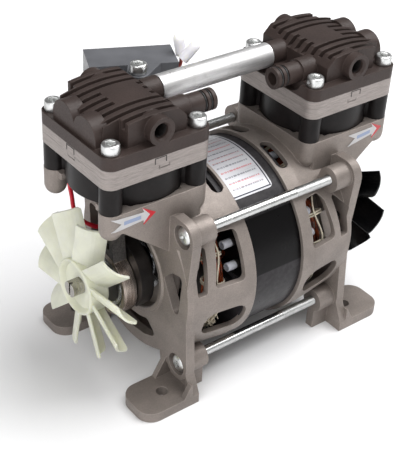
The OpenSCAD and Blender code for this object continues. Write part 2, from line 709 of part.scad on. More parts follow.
// The drum narrows towards its face, so the caps stay inside its radius at their own tips.
cap_tip_x = stator_half + cap_len;
cap_wall_r = drum_in_r - drum_taper * max(0, cap_tip_x - side_open_x - 2) / (face_in_x - side_open_x - 2);
cap_place_r = cap_wall_r - cap_r - 0.3;
module end_caps() {
  for (i = [0:11]) {
    rotate_at = i * 30 + 15;
    translate([stator_half, 0, axis_z]) rotate([rotate_at, 0, 0]) translate([0, 0, cap_place_r])
      rotate([0, 90, 0]) difference() {
        cylinder(r = cap_r, h = cap_len, $fn = 24);
        translate([0, 0, 1]) cylinder(r = cap_r - 0.8, h = cap_len, $fn = 24);
      }
  }
}
module slot_caps() {
  color([0.93, 0.93, 0.9]) union() {
    end_caps();
    at_front() end_caps();
  }
}
module tie_bolts() {
  color([0.8, 0.81, 0.82]) for (sy = [-1, 1]) {
    for (sz = [-1, 1]) {
      y = sy * tie_offset;
      z = axis_z + sz * tie_offset;
      head_x = face_x - tie_cbore_depth;
      difference() {
        union() {
          disc_x(tie_r, -head_x, face_x - 1, z, y);
          translate([-head_x, y, z]) rotate([0, -90, 0]) rotate_extrude() polygon([[0, 0], [tie_head_r, 0],
            [tie_head_r, tie_head_h * 0.45], [tie_head_r * 0.82, tie_head_h * 0.8],
            [tie_head_r * 0.45, tie_head_h], [0, tie_head_h]]);
        }
        // Cross recess
        for (a = [0, 90]) {
          translate([-head_x - tie_head_h, y, z]) rotate([a, 0, 0]) cube([4, 1.4, 6.4], center = true);
        }
      }
    }
  }
}

// Turning parts
module shaft_half(tip_flat) {
  disc_x(shaft_d / 2, 0, bearing_x0 - seat_lip);
  disc_x(journal_d / 2, bearing_x0 - seat_lip - 1, bearing_x1);
  disc_x(crank_seat_d / 2, bearing_x1 - 1, rod_x1 + run_clear);
  difference() {
    disc_x(fan_seat_d / 2, rod_x1 - 1, shaft_tip_x);
    // Flat for the fan and slot in the tip
    translate([fan_x0 - 4, -fan_seat_d, axis_z + fan_seat_d / 2 - tip_flat]) cube([60, 2 * fan_seat_d, 10]);
    translate([shaft_tip_x - 2, -0.8, axis_z - fan_seat_d]) cube([4, 1.6, 2 * fan_seat_d]);
  }
}
shaft_flat = 1;
module shaft() {
  color([0.62, 0.62, 0.63]) union() {
    shaft_half(shaft_flat);
    at_front() shaft_half(shaft_flat);
  }
}
rotor_r = stator_bore_d / 2 - air_gap;
module rotor_core() {
  color([0.45, 0.45, 0.46]) difference() {
    union() {
      disc_x(rotor_r, -stator_half, stator_half);
      for (s = [-1, 1]) {
        ring_x(rotor_r - 1, rotor_r - 11, s > 0 ? stator_half : -stator_half - rotor_ring_len,
          s > 0 ? stator_half + rotor_ring_len : -stator_half);
      }
    }
    disc_x(shaft_d / 2 + fit_clear, -stator_half - 20, stator_half + 20);
  }
}
module ball_bearing(od, id, w, race, x0, z) {
  r_out = od / 2 - race;
  r_in = id / 2 + race;
  mid = (r_out + r_in) / 2;
  union() {
    ring_x(od / 2, r_out, x0, x0 + w, z);
    ring_x(r_in, id / 2, x0, x0 + w, z);
    // Shields that close the gap between the two rings
    ring_x(r_out + 0.2, r_in - 0.2, x0 + 0.6, x0 + 1.1, z);
    ring_x(r_out + 0.2, r_in - 0.2, x0 + w - 1.1, x0 + w - 0.6, z);
  }
}
module main_bearing() {
  ball_bearing(bearing_od - 2 * fit_clear, journal_d + 2 * fit_clear, bearing_w - 0.1, race_t, bearing_x0 + 0.05, axis_z);
}
module front_main_bearing() {
  color([0.75, 0.76, 0.78]) at_front() main_bearing();
}
module rear_main_bearing() {
  color([0.75, 0.76, 0.78]) main_bearing();
}
// Eccentric with its counterweight; s is 1 with the pin up and -1 with the pin down.
eccentric_r = eccentric_d / 2;
module eccentric(s) {
  hub_x0 = bearing_x1 + 0.3;
  difference() {
    union() {
      disc_x(journal_d / 2 + 1.5, hub_x0, weight_x0 + 1);
      disc_x(weight_r, weight_x0, weight_x1);
      disc_x(eccentric_r, weight_x1 - 1, rod_x1 - 0.5, axis_z + s * throw);
    }
    disc_x(crank_seat_d / 2 + fit_clear, hub_x0 - 1, rod_x1 + 1);
    // The disc is cut away beside the pin, so that its weight lies opposite
    difference() {
      translate([weight_x0 - 1, -weight_r, s > 0 ? axis_z + weight_r * 0.62 : axis_z - weight_r - 10])
        cube([weight_t + 2, 2 * weight_r, weight_r * 0.38 + 10]);
      disc_x(eccentric_r + 2, weight_x0 - 2, weight_x1 + 2, axis_z + s * throw);
    }
    // Set screw hole, square to the throw
    translate([weight_x0 + weight_t / 2, 0, axis_z]) rotate([90, 0, 0]) cylinder(r = set_r + 0.1, h = weight_r + 1);
  }
}
module front_eccentric() {
  color([0.22, 0.22, 0.23]) at_front() eccentric(-1);
}
module rear_eccentric() {
  color([0.22, 0.22, 0.23]) eccentric(1);
}
module set_screw() {
  translate([weight_x0 + weight_t / 2, -crank_seat_d / 2 - 0.3, axis_z]) rotate([90, 0, 0]) difference() {
    cylinder(r = set_r, h = set_len, $fn = 24);
    translate([0, 0, set_len * 2 / 3]) cylinder(r = set_r * 0.55, h = set_len, $fn = 6);
  }
}
module eccentric_set_screws() {
  color([0.15, 0.15, 0.16]) union() {
    set_screw();
    at_front() set_screw();
  }
}
module rod_bearing(s) {
  ball_bearing(rod_bearing_od - 2 * fit_clear, eccentric_d + 2 * fit_clear, rod_bearing_w, 1.6,
    rod_x - rod_bearing_w / 2 + 0.05, axis_z + s * throw);
}
module front_rod_bearing() {
  color([0.75, 0.76, 0.78]) at_front() rod_bearing(-1);
}
module rear_rod_bearing() {
  color([0.75, 0.76, 0.78]) rod_bearing(1);
}
// Outline of a rib under the piston disc, from the cylinder's axis and the disc's underside
rod_rib = [[-piston_r + 4, 0.5], [piston_r - 4, 0.5], [rod_offset + rod_w / 2, -14], [rod_offset - rod_w / 2, -14]];
// Rod and piston disc in one casting, as a rocking piston has; pin_z is the height of the crank pin.
module rod(pin_z) {
  top = pin_z + rod_to_top;
  difference() {
    union() {
      disc_x(big_end_r, rod_x0, rod_x1, pin_z);
      // Shank, wider at the foot
      translate([rod_x0, 0, pin_z]) rotate([90, 0, 90]) linear_extrude(height = rod_w)
        polygon([[-rod_shank * 0.7, big_end_r - 7], [rod_shank * 0.7, big_end_r - 7],
          [rod_shank / 2, big_end_r + 12], [rod_shank / 2 + 1, rod_to_top - retainer_t - cup_t - 2],
          [-rod_shank / 2 - 1, rod_to_top - retainer_t - cup_t - 2], [-rod_shank / 2, big_end_r + 12]]);
      translate([cyl_x, 0, top - retainer_t - cup_t - piston_t]) cylinder(r = piston_r, h = piston_t);
      translate([cyl_x, 0, top - 16]) cylinder(r = rod_shank / 2 - 1, h = 12);
      // Ribs under the piston disc
      for (s = [-1, 1]) {
        translate([cyl_x, s * (rod_shank / 2 - 1), top - retainer_t - cup_t - piston_t])
          rotate([90, 0, 0]) linear_extrude(height = 3, center = true)
            polygon(rod_rib);
      }
    }
    disc_x(rod_bearing_od / 2, rod_x - rod_bearing_w / 2, rod_x1 + 1, pin_z);
    disc_x(rod_bearing_od / 2 - 1.6, rod_x0 - 1, rod_x1 + 1, pin_z);
    // Pockets in the shank's two faces
    for (x = [rod_x0 - 1, rod_x1 - 3]) {
      translate([x, 0, pin_z + big_end_r + 3]) rotate([90, 0, 90]) linear_extrude(height = 4)
        polygon([[-rod_shank / 2 + 2.5, 2], [rod_shank / 2 - 2.5, 2], [rod_shank / 2 - 3, 22], [3 - rod_shank / 2, 22]]);
    }
    translate([cyl_x, 0, top - 15]) cylinder(r = piston_screw_r + 0.1, h = 20);
  }
}
piston_screw_r = 2.5;
module front_rod() {
  color([0.66, 0.63, 0.6]) at_front() rod(pin_z_front);
}
module rear_rod() {
  color([0.66, 0.63, 0.6]) rod(pin_z_rear);
}
cup_r = bore_r - 0.3;
module cup(pin_z) {
  // A flat ring with its lip turned up against the bore.
  z = pin_z + rod_to_top - retainer_t - cup_t;
  translate([cyl_x, 0, z]) rotate_extrude() polygon([[piston_screw_r + 0.3, 0], [cup_r - 1, 0],
    [cup_r, 1.2], [cup_r, cup_lip - 1.2], [cup_r - cup_t, cup_lip - 1.2], [cup_r - cup_t - 0.3, cup_t],
    [piston_screw_r + 0.3, cup_t]]);
}
module front_piston_cup() {
  color([0.2, 0.19, 0.18]) at_front() cup(pin_z_front);
}
module rear_piston_cup() {
  color([0.2, 0.19, 0.18]) cup(pin_z_rear);
}
module retainer(pin_z) {
  z = pin_z + rod_to_top - retainer_t;
  translate([cyl_x, 0, z]) difference() {
    cylinder(r = piston_r - 1, h = retainer_t);
    translate([0, 0, -1]) cylinder(r = piston_screw_r + 0.2, h = 8);
    translate([0, 0, retainer_t - 1.9]) cylinder(r1 = piston_screw_r + 0.2, r2 = 5.2, h = 2);
  }
}
module front_cup_retainer() {
  color([0.7, 0.7, 0.71]) at_front() retainer(pin_z_front);
}
module rear_cup_retainer() {
  color([0.7, 0.7, 0.71]) retainer(pin_z_rear);
}
module piston_screw(pin_z) {
  z = pin_z + rod_to_top;
  translate([cyl_x, 0, z]) difference() {
    union() {
      translate([0, 0, -13]) cylinder(r = piston_screw_r, h = 12);
      translate([0, 0, -1.9]) cylinder(r1 = piston_screw_r, r2 = 4.8, h = 1.7);
    }
    translate([0, 0, -1.5]) cylinder(r = 1.6, h = 3, $fn = 6);
  }
}
module front_piston_screw() {
  color([0.3, 0.3, 0.31]) at_front() piston_screw(pin_z_front);
}
module rear_piston_screw() {
  color([0.3, 0.3, 0.31]) piston_screw(pin_z_rear);
}

// Cylinders, plates and heads
post_web = 8;
module cylinder_body() {
  difference() {
    union() {
      translate([cyl_x, 0, deck_z]) linear_extrude(height = cyl_h) union() {
        circle(r = barrel_r, $fn = 96);
        for (p = screw_at) {
          translate(p) circle(r = post_r);
          rotate(ang(p)) translate([barrel_r - 2, -post_web / 2]) square([post_r + 2, post_web]);
        }
      }
      translate([cyl_x, 0, deck_z - barrel_drop]) cylinder(r = barrel_r, h = barrel_drop + 2, $fn = 96);
    }
    translate([cyl_x, 0, deck_z - 20]) cylinder(r = bore_r, h = 60, $fn = 96);
    translate([cyl_x, 0, deck_z - barrel_drop - eps]) cylinder(r1 = bore_r + 1.2, r2 = bore_r, h = 2.4, $fn = 96);
    // Groove for the sealing ring under the valve plate
    translate([cyl_x, 0, cyl_top - 1.2]) difference() {
      cylinder(r = bore_r + 3.2, h = 3);
      translate([0, 0, -1]) cylinder(r = bore_r + 1.4, h = 5);
    }
    for (p = screw_at) {
      translate([cyl_x + p[0], p[1], deck_z - 1]) cylinder(r = screw_hole_r, h = cyl_h + 2);
    }
  }
}
module front_cylinder() {
  color([0.12, 0.12, 0.13]) at_front() cylinder_body();
}
module rear_cylinder() {
  color([0.12, 0.12, 0.13]) cylinder_body();
}
key_w = 7;
module plate(z0, z1) {
  difference() {
    translate([cyl_x, 0, 0]) rounded_plate(deck_half, corner_r, z0, z1);
    for (p = screw_at) {
      translate([cyl_x + p[0], p[1], z0 - 1]) cylinder(r = screw_hole_r, h = z1 - z0 + 2);
    }
    translate([cyl_x, 0, 0]) children();
  }
}
// Where the reeds sit: the intake holes are on the port's side at the front end.
valve_y = 11;
reed_w = 9;
reed_l = 30;
module valve_plate() {
  plate(cyl_top, plate_up_z) union() {
    for (s = [-1, 1]) {
      for (x = [4, 11]) {
        translate([x, s * valve_y, cyl_top - 1]) cylinder(r = 2.6, h = plate_low_t + 2);
      }
    }
    // Pockets that let the reeds lie flush, one below and one above
    translate([-16, -valve_y - reed_w / 2 - 0.5, cyl_top - 1]) cube([reed_l + 2, reed_w + 1, 2]);
    translate([-16, valve_y - reed_w / 2 - 0.5, plate_up_z - 1]) cube([reed_l + 2, reed_w + 1, 2]);
    // Key notches in the middle of the sides
    translate([deck_half - 1.2, -key_w / 2, plate_up_z - 2.2]) cube([2, key_w, 3]);
    translate([-key_w / 2 - 2, -deck_half - 0.8, plate_up_z - 2.2]) cube([key_w, 2, 3]);
    translate([-key_w / 2 - 2, deck_half - 1.2, plate_up_z - 2.2]) cube([key_w, 2, 3]);
  }
}
module front_valve_plate() {
  color([0.68, 0.65, 0.62]) at_front() valve_plate();
}
module rear_valve_plate() {
  color([0.68, 0.65, 0.62]) valve_plate();
}
chamber_x = 19;
chamber_in = 2;
chamber_out = 20;
module chamber_plate() {
  plate(plate_up_z, head_z) union() {
    for (s = [-1, 1]) {
      translate([-chamber_x, s > 0 ? chamber_in : -chamber_out, plate_up_z - 1])
        cube([2 * chamber_x, chamber_out - chamber_in, plate_up_t + 2]);
    }
  }
  // Keys that drop into the valve plate's notches
  translate([cyl_x + deck_half - 0.9, -key_w / 2 + 0.3, plate_up_z - 1.8]) cube([0.9, key_w - 0.6, 1.8 + eps]);
  for (y = [-deck_half, deck_half - 0.9]) {
    translate([cyl_x - key_w / 2 - 1.7, y, plate_up_z - 1.8]) cube([key_w - 0.6, 0.9, 1.8 + eps]);
  }
}
module front_chamber_plate() {
  color([0.7, 0.67, 0.64]) at_front() chamber_plate();
}
module rear_chamber_plate() {
  color([0.7, 0.67, 0.64]) chamber_plate();
}
reed_t = 0.4;
module reeds() {
  // The intake reed under the valve plate, the exhaust reed on top of it, each with its rivet.
  translate([cyl_x - 15, -valve_y - reed_w / 2, cyl_top + 1 - reed_t]) cube([reed_l, reed_w, reed_t]);
  translate([cyl_x - 12, -valve_y, cyl_top + 1 - reed_t - 1]) cylinder(r = 2, h = 1 + eps, $fn = 24);
  translate([cyl_x - 15, valve_y - reed_w / 2, plate_up_z - 1]) cube([reed_l, reed_w, reed_t]);
  translate([cyl_x - 12, valve_y, plate_up_z - 1 + reed_t - eps]) cylinder(r = 2, h = 1.4, $fn = 24);
}
module front_reeds() {
  color([0.55, 0.56, 0.58]) at_front() reeds();
}
module rear_reeds() {
  color([0.55, 0.56, 0.58]) reeds();
}
// Head, drawn at the +X end: stubs point to -x, blind bosses to +x; p is the side of the open port.
block_half_y = 29;
block_narrow_y = 21;
block_in = 20;
block_wide_out = 18;
block_out = 28;
block_chamfer = 6.5;
module fin_slots() {
  for (i = [-4:4]) {
    y = i * fin_pitch - fin_slot / 2;
    outer = cyl_x + block_out + 1;
    inner = cyl_x - block_in - 1;
    bottom = crown_z - fin_depth;
    if (abs(i) < 2) {
      translate([cyl_x + pad_half, y, bottom]) cube([outer - cyl_x - pad_half, fin_slot, 30]);
      translate([inner, y, bottom]) cube([cyl_x - pad_half - inner, fin_slot, 30]);
    } else {
      translate([cyl_x - block_in + abs(i), y, bottom]) cube([outer - cyl_x + block_in - abs(i), fin_slot, 30]);
    }
  }
}
module head(p) {
  end_face_x = cyl_x + deck_half - end_boss_back;
  end_z = flange_z + end_boss_rise;
  in_x = cyl_x - deck_half;
  difference() {
    union() {
      translate([cyl_x, 0, 0]) rounded_plate(deck_half, corner_r, head_z, flange_z);
      difference() {
        intersection() {
          union() {
            translate([cyl_x - block_in, -block_half_y, head_z])
              cube([block_in + block_wide_out, 2 * block_half_y, 40]);
            translate([cyl_x - block_in, -block_narrow_y, head_z])
              cube([block_in + block_out, 2 * block_narrow_y, 40]);
          }
          translate([cyl_x, 0, crown_z - crown_r]) rotate([90, 0, 0])
            cylinder(r = crown_r, h = 100, center = true, $fn = 180);
        }
        fin_slots();
        // The fins' inner ends are cut off on a slant
        prism_y([[cyl_x - block_in - 1, crown_z - block_chamfer - 1], [cyl_x - block_in + block_chamfer + 1, crown_z + 1],
          [cyl_x - block_in - 1, crown_z + 1]], -block_half_y - 1, block_half_y + 1);
      }
      for (s = [-1, 1]) {
        disc_x(end_boss_r, end_face_x - 9, end_face_x, end_z, s * end_boss_y);
        disc_x(collar_r, in_x + collar_back, cyl_x - block_in + 1, stub_z, s * stub_y);
        translate([cyl_x, s * deck_half, port_z]) rotate([s * 90, 0, 0]) cylinder(r = port_boss_r, h = 14);
      }
      // Root under the end bosses
      translate([end_face_x - 9, -end_boss_y - end_boss_r, head_z])
        cube([9, 2 * (end_boss_y + end_boss_r), end_z - head_z]);
    }
    // Seats in the flange's edge for the tube's ends
    for (s = [-1, 1]) {
      disc_x(stub_r + 4, in_x - 1, in_x + collar_back, stub_z, s * stub_y);
    }
    for (q = screw_at) {
      translate([cyl_x + q[0], q[1], head_z - 1]) cylinder(r = screw_hole_r, h = 12);
      translate([cyl_x + q[0], q[1], flange_z]) cylinder(r = screw_head_r + 0.8, h = 30);
    }
    // The open port, with its drilled way down to the chamber
    translate([cyl_x, p * (deck_half + 1), port_z]) rotate([p * 90, 0, 0]) cylinder(r = port_r, h = port_depth + 1);
    translate([cyl_x, p * (deck_half + eps), port_z]) rotate([p * 90, 0, 0])
      cylinder(r1 = port_r + 1.2, r2 = port_r, h = 1.2 + eps);
    translate([cyl_x, p * 17.5, head_z - 1]) cylinder(r = 3, h = port_z - head_z);
    translate([cyl_x, p * 22, port_z]) rotate([p * 90, 0, 0]) cylinder(r = 3, h = 7);
    stub_bores(p);
    translate([cyl_x - chamber_x + 3, -p * stub_y, head_z + 3]) cylinder(r = 3, h = stub_z - head_z - 3);
    // Chambers under the flange
    for (s = [-1, 1]) {
      translate([cyl_x - chamber_x, s > 0 ? chamber_in : -chamber_out, head_z - 1])
        cube([2 * chamber_x, chamber_out - chamber_in, 5]);
    }
  }
  difference() {
    for (s = [-1, 1]) {
      stub(s);
    }
    stub_bores(p);
  }
}
// Bores of the two stubs; the one with the tube leads on to the chamber away from the port.
module stub_bores(p) {
  start = cyl_x - deck_half - stub_len - 1;
  for (s = [-1, 1]) {
    disc_x(stub_bore_r, start, s == -p ? cyl_x - chamber_x + 3 : cyl_x - deck_half + 10, stub_z, s * stub_y);
  }
}
groove_w = 2;
groove_depth = 1.2;
groove_at = [3.4, 7.4];
module stub(s) {
  x0 = cyl_x - deck_half - stub_len;
  difference() {
    disc_x(stub_r, x0, cyl_x - block_in + 1, stub_z, s * stub_y);
    for (g = groove_at) {
      ring_x(stub_r + 1, stub_r - groove_depth, x0 + g - groove_w / 2, x0 + g + groove_w / 2, stub_z, s * stub_y);
    }
  }
}
module front_head() {
  color([0.32, 0.28, 0.26]) at_front() head(1);
}
module rear_head() {
  color([0.32, 0.28, 0.26]) head(-1);
}
module socket_screw(z_under, tip_z) {
  difference() {
    union() {
      translate([0, 0, z_under]) cylinder(r = screw_head_r, h = screw_head_h);
      translate([0, 0, tip_z]) cylinder(r = screw_r, h = z_under - tip_z + eps);
    }
    translate([0, 0, z_under + screw_head_h / 2]) cylinder(r = hex_af / 2 / cos(30), h = screw_head_h, $fn = 6);
    translate([0, 0, z_under + screw_head_h - 0.6]) difference() {
      cylinder(r = screw_head_r + 1, h = 1);
      translate([0, 0, -eps]) cylinder(r1 = screw_head_r, r2 = screw_head_r - 0.7, h = 0.62);
    }
  }
}
screw_tip_z = deck_z - hood_lip + 3;
module head_screws(lug) {
  for (p = screw_at) {
    // The screw in the inner corner away from the port also holds the capacitor's lug at the front end.
    lift = lug && p[0] < 0 && p[1] < 0 ? lug_t : 0;
    translate([cyl_x + p[0], p[1], 0]) socket_screw(flange_z + lift, screw_tip_z);
  }
}
module front_head_screws() {
  color([0.8, 0.8, 0.78]) at_front() head_screws(true);
}
module rear_head_screws() {
  color([0.8, 0.8, 0.78]) head_screws(false);
}
tube_half = cyl_x - deck_half + collar_back - tube_end_gap;
module transfer_tube() {
  color([0.8, 0.8, 0.8]) ring_x(tube_r, stub_r + tube_clear, -tube_half, tube_half, stub_z, stub_y);
}
module spigot_o_rings() {
  color([0.1, 0.1, 0.1]) for (e = [-1, 1]) {
    for (s = [-1, 1]) {
      for (g = groove_at) {
        translate([e * (cyl_x - deck_half - stub_len + g), s * stub_y, stub_z]) rotate([0, 90, 0]) rotate_extrude()
          translate([stub_r - groove_depth / 2 - 0.02, 0]) circle(d = groove_depth - 0.06, $fn = 16);
      }
    }
  }
}

// Fans: a cup on the shaft with curved blades; m is 1 or -1 for the hand of the blades.
fan_floor = 4.5;
fan_profile = [
  [fan_seat_d / 2 + fit_clear, fan_x0], [fan_hub_r, fan_x0], [fan_cup_r - 1.5, fan_x0 + 1.5],
  [fan_cup_r, fan_x0 + 3], [fan_cup_r, fan_front_x - 0.8], [fan_cup_r - fan_cup_wall / 2, fan_front_x],
  [fan_cup_r - fan_cup_wall, fan_front_x - 1], [fan_cup_r - fan_cup_wall - 1.5, fan_front_x - fan_floor + 1],
  [fan_hub_r, fan_front_x - fan_floor], [fan_seat_d / 2 + fit_clear, fan_front_x - fan_floor]];
blade_envelope = [
  [fan_cup_r - 1, blade_x0 - 2], [fan_r - 2, blade_x0 - 2], [fan_r - 2, blade_x0], [fan_r, blade_x0 + 2],
  [fan_r, blade_x0 + 3], [fan_r_front, blade_x1 - 1], [fan_r_front - 1, blade_x1 + 2], [fan_cup_r - 1, blade_x1 + 2]];
// In plan a blade is an arc: at the front edge it runs round the fan, at the back edge along the shaft.
blade_steps = 9;
blade_start = 25;
blade_chord = (fan_depth - blade_t) / cos(blade_deg);
blade_half_deg = asin(blade_chord / 2 / blade_curve_r);
blade_sag = blade_curve_r * cos(blade_half_deg);
blade_centre_x = (blade_x0 + blade_x1) / 2 - blade_sag * sin(blade_deg);
function blade_point(r, k, hand) =
  let (a = 90 - blade_deg - blade_half_deg + 2 * blade_half_deg * k / blade_steps)
  [blade_centre_x + r * cos(a), hand * (r * sin(a) - blade_sag * cos(blade_deg))];
module blade(hand) {
  outer = [for (k = [0:blade_steps]) blade_point(blade_curve_r + blade_t / 2, k, hand)];
  inner = [for (k = [blade_steps:-1:0]) blade_point(blade_curve_r - blade_t / 2, k, hand)];
  translate([0, 0, axis_z + fan_cup_r - 5]) linear_extrude(height = fan_r - fan_cup_r + 8) polygon(concat(outer, inner));
}
module fan(hand) {
  turn_x(fan_profile);
  for (i = [0:fan_blades - 1]) {
    intersection() {
      turn_x(blade_envelope);
      translate([0, 0, axis_z]) rotate([i * 360 / fan_blades + blade_start, 0, 0]) translate([0, 0, -axis_z])
        blade(hand);
    }
  }
  // The bore's flat
  intersection() {
    disc_x(fan_seat_d / 2 + 0.5, fan_x0 + 0.5, fan_front_x - fan_floor - 0.5);
    translate([fan_x0, -fan_seat_d, axis_z + fan_seat_d / 2 - shaft_flat + 0.05])
      cube([fan_cup_depth, 2 * fan_seat_d, 5]);
  }
}
module front_fan() {
  color([0.88, 0.89, 0.8]) at_front() fan(1);
}
module rear_fan() {
  color([0.06, 0.06, 0.07]) fan(-1);
}

// Capacitor on its lug, with its leads
lug_at = [-cyl_x + screw_pitch_half, screw_pitch_half];
cap_mid = lug_at + [cap_dx, cap_dy];
cap_top_z = flange_z + lug_t;
cap_bottom_z = cap_top_z - cap_box_h;
// A point given in the capacitor's own length and width, in the part's frame.
function cap_point(l, w, z) = [cap_mid[0] + l * cos(cap_yaw) - w * sin(cap_yaw),
  cap_mid[1] + l * sin(cap_yaw) + w * cos(cap_yaw), z];
// The lug screw in the capacitor's own length and width.
lug_local = [(-cap_dx) * cos(cap_yaw) + (-cap_dy) * sin(cap_yaw), cap_dx * sin(cap_yaw) - cap_dy * cos(cap_yaw)];
module capacitor() {
  color([0.3, 0.3, 0.32]) difference() {
    translate([cap_mid[0], cap_mid[1], 0]) rotate([0, 0, cap_yaw]) union() {
      translate([-cap_box_l / 2, -cap_box_w / 2, cap_bottom_z]) cube([cap_box_l, cap_box_w, cap_box_h]);
      translate([0, 0, flange_z + 0.05]) linear_extrude(height = lug_t - 0.1) union() {
        translate(lug_local) circle(r = lug_r);
        polygon([lug_local + [-lug_r * 0.9, lug_r * 0.43], lug_local + [lug_r * 0.9, -lug_r * 0.43],
          [lug_local[0] + 16, 1 - cap_box_w / 2], [lug_local[0] - 4, 1 - cap_box_w / 2]]);
      }
    }
    translate([lug_at[0], lug_at[1], flange_z - 1]) cylinder(r = screw_hole_r, h = lug_t + 4);
  }
}
// Closed-end crimps that stand beside the capacitor's end.
crimp_base = [cap_point(cap_box_l / 2 + 4.3, 1.3, cap_top_z - 1.4), cap_point(cap_box_l / 2 + 3.8, -5.6, cap_top_z - 1.8)];
crimp_tilt = [[0, -12.6], [14.3, 37]];
module crimp_caps() {
  color([0.93, 0.93, 0.92]) for (i = [0, 1]) {
    translate(crimp_base[i]) rotate([crimp_tilt[i][0], crimp_tilt[i][1], 0]) difference() {
      union() {
        cylinder(r = crimp_r, h = crimp_len - crimp_r);
        translate([0, 0, crimp_len - crimp_r]) sphere(r = crimp_r);
      }
      translate([0, 0, -1]) cylinder(r = lead_r + 0.3, h = crimp_len - 4);
    }
  }
}
lead_r = lead_d / 2;
// A round lead swept along a smooth curve through a list of points, four steps between two points.
lead_sides = 10;
steps = 4;
function clamp_at(p, i) = p[max(0, min(len(p) - 1, i))];
function smooth(p) = [for (i = [0:len(p) - 2]) for (k = [0:(i == len(p) - 2 ? steps : steps - 1)])
  let (t = k / steps, a = clamp_at(p, i - 1), b = p[i], c = p[i + 1], d = clamp_at(p, i + 2))
  0.5 * (2 * b + (c - a) * t + (2 * a - 5 * b + 4 * c - d) * t * t + (3 * b - a - 3 * c + d) * t * t * t)];
module run(points, r) {
  path = smooth(points);
  n = len(path);
  frames = [for (i = [0:n - 1]) let (t = unit(path[min(n - 1, i + 1)] - path[max(0, i - 1)]),
    u = unit(cross(t, [0.3, 1, 0.1]))) [u, cross(t, u)]];
  rings = [for (i = [0:n - 1]) for (j = [0:lead_sides - 1])
    path[i] + r * (cos(360 * j / lead_sides) * frames[i][0] + sin(360 * j / lead_sides) * frames[i][1])];
  sides = [for (i = [0:n - 2]) for (j = [0:lead_sides - 1])
    let (a = i * lead_sides + j, b = i * lead_sides + (j + 1) % lead_sides)
    each [[a, a + lead_sides, b], [b, a + lead_sides, b + lead_sides]]];
  ends = [for (j = [1:lead_sides - 2]) each [[0, j, j + 1],
    [(n - 1) * lead_sides, (n - 1) * lead_sides + j + 1, (n - 1) * lead_sides + j]]];
  polyhedron(points = rings, faces = concat(sides, ends), convexity = 6);
}
module capacitor_leads() {
  end_l = cap_box_l / 2;
  color([0.75, 0.45, 0.4]) run([cap_point(end_l + 0.25, 3, cap_top_z - 12), cap_point(end_l + 2.4, 3, cap_top_z - 12),
    crimp_base[0] - [0, 0, 6], crimp_base[0] - [0, 0, 0.3]], lead_r * 0.8);
}
// The lead from the capacitor down to the motor's winding: it hangs clear of the deck and goes in
// through the face's window.
lead_start = cap_point(-cap_box_l / 2 + 7, 2, cap_bottom_z - 0.55);
motor_lead_points = [lead_start, lead_start - [0, 0, 9], [-73, 54, 118], [-76, 51.5, 104], [-75.2, 50, 92],
  [-74, 49.5, 82], [-70, 47.5, 74], [-62, 44.5, 68], [-50, 44.5, 63], [-(winding_x + 3 * loop_pitch + 1.2), 46, 60]];
module motor_lead() {
  color([0.7, 0.08, 0.14]) run(motor_lead_points, lead_r);
}

front_bracket();
rear_bracket();
stator_core();
front_winding();
rear_winding();
front_lacing();
rear_lacing();
slot_caps();
tie_bolts();
shaft();
rotor_core();
front_main_bearing();
rear_main_bearing();
front_eccentric();
rear_eccentric();
eccentric_set_screws();
front_rod_bearing();
rear_rod_bearing();
front_rod();
rear_rod();
front_piston_cup();
rear_piston_cup();
front_cup_retainer();
rear_cup_retainer();
front_piston_screw();
rear_piston_screw();
front_cylinder();
rear_cylinder();
front_valve_plate();
rear_valve_plate();
front_chamber_plate();
rear_chamber_plate();
front_reeds();
rear_reeds();
front_head();
rear_head();
front_head_screws();
rear_head_screws();
transfer_tube();
spigot_o_rings();
front_fan();
rear_fan();
capacitor();
crimp_caps();
capacitor_leads();
motor_lead();
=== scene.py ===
"""Dresses the CAD frame of a twin-cylinder piston vacuum pump: its finishes, windings, screws, stickers and the stage."""

import math
import random

import bmesh
import bpy
from bpy.props import FloatProperty, FloatVectorProperty, IntProperty, PointerProperty
from mathutils import Matrix, Vector


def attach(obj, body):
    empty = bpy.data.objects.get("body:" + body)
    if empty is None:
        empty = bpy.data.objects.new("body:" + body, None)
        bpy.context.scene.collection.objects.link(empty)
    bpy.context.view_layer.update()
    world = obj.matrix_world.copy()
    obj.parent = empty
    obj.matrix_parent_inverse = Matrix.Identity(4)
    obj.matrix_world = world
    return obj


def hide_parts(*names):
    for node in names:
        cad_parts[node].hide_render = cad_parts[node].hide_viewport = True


bl_info = {
    "name": "Piston vacuum pump",
    "version": (1, 0, 0),
    "blender": (4, 5, 0),
    "location": "3D View > Sidebar > Pump",
    "description": "Builds the finishes and small pieces of a twin-cylinder piston vacuum pump around its CAD frame",
    "category": "Object",
}

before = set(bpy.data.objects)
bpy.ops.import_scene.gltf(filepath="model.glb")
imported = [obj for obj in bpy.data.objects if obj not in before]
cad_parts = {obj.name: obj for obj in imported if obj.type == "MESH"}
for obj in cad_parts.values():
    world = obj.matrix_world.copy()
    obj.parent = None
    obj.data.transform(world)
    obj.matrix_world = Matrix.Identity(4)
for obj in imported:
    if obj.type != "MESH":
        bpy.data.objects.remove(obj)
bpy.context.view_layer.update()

MM = 0.001
FULL_TURN = 2 * math.pi
WELD = 0.000002
SMALLEST_RADIUS = 1e-7
SMOOTH_ANGLE = math.radians(35)
SHAFT_HEIGHT = 0.067
STATOR_RADIUS = 0.058
STATOR_HALF = 0.0245
CYLINDER_X = 0.071
DECK_HALF = 0.0345
PIN_HEIGHTS = {"front": 0.062, "rear": 0.072}
ENDS = {"front": -1, "rear": 1}


def srgb(red, green, blue):
    """The linear colour of an 8-bit screen colour."""
    return tuple(((c / 255 + 0.055) / 1.055) ** 2.4 if c > 10 else c / 255 / 12.92 for c in (red, green, blue))


def colour(name, description, *screen):
    """A colour that a user can change, given as it looks on the screen."""
    return FloatVectorProperty(
        name=name, description=description, subtype="COLOR", size=3, min=0, max=1, default=srgb(*screen)
    )


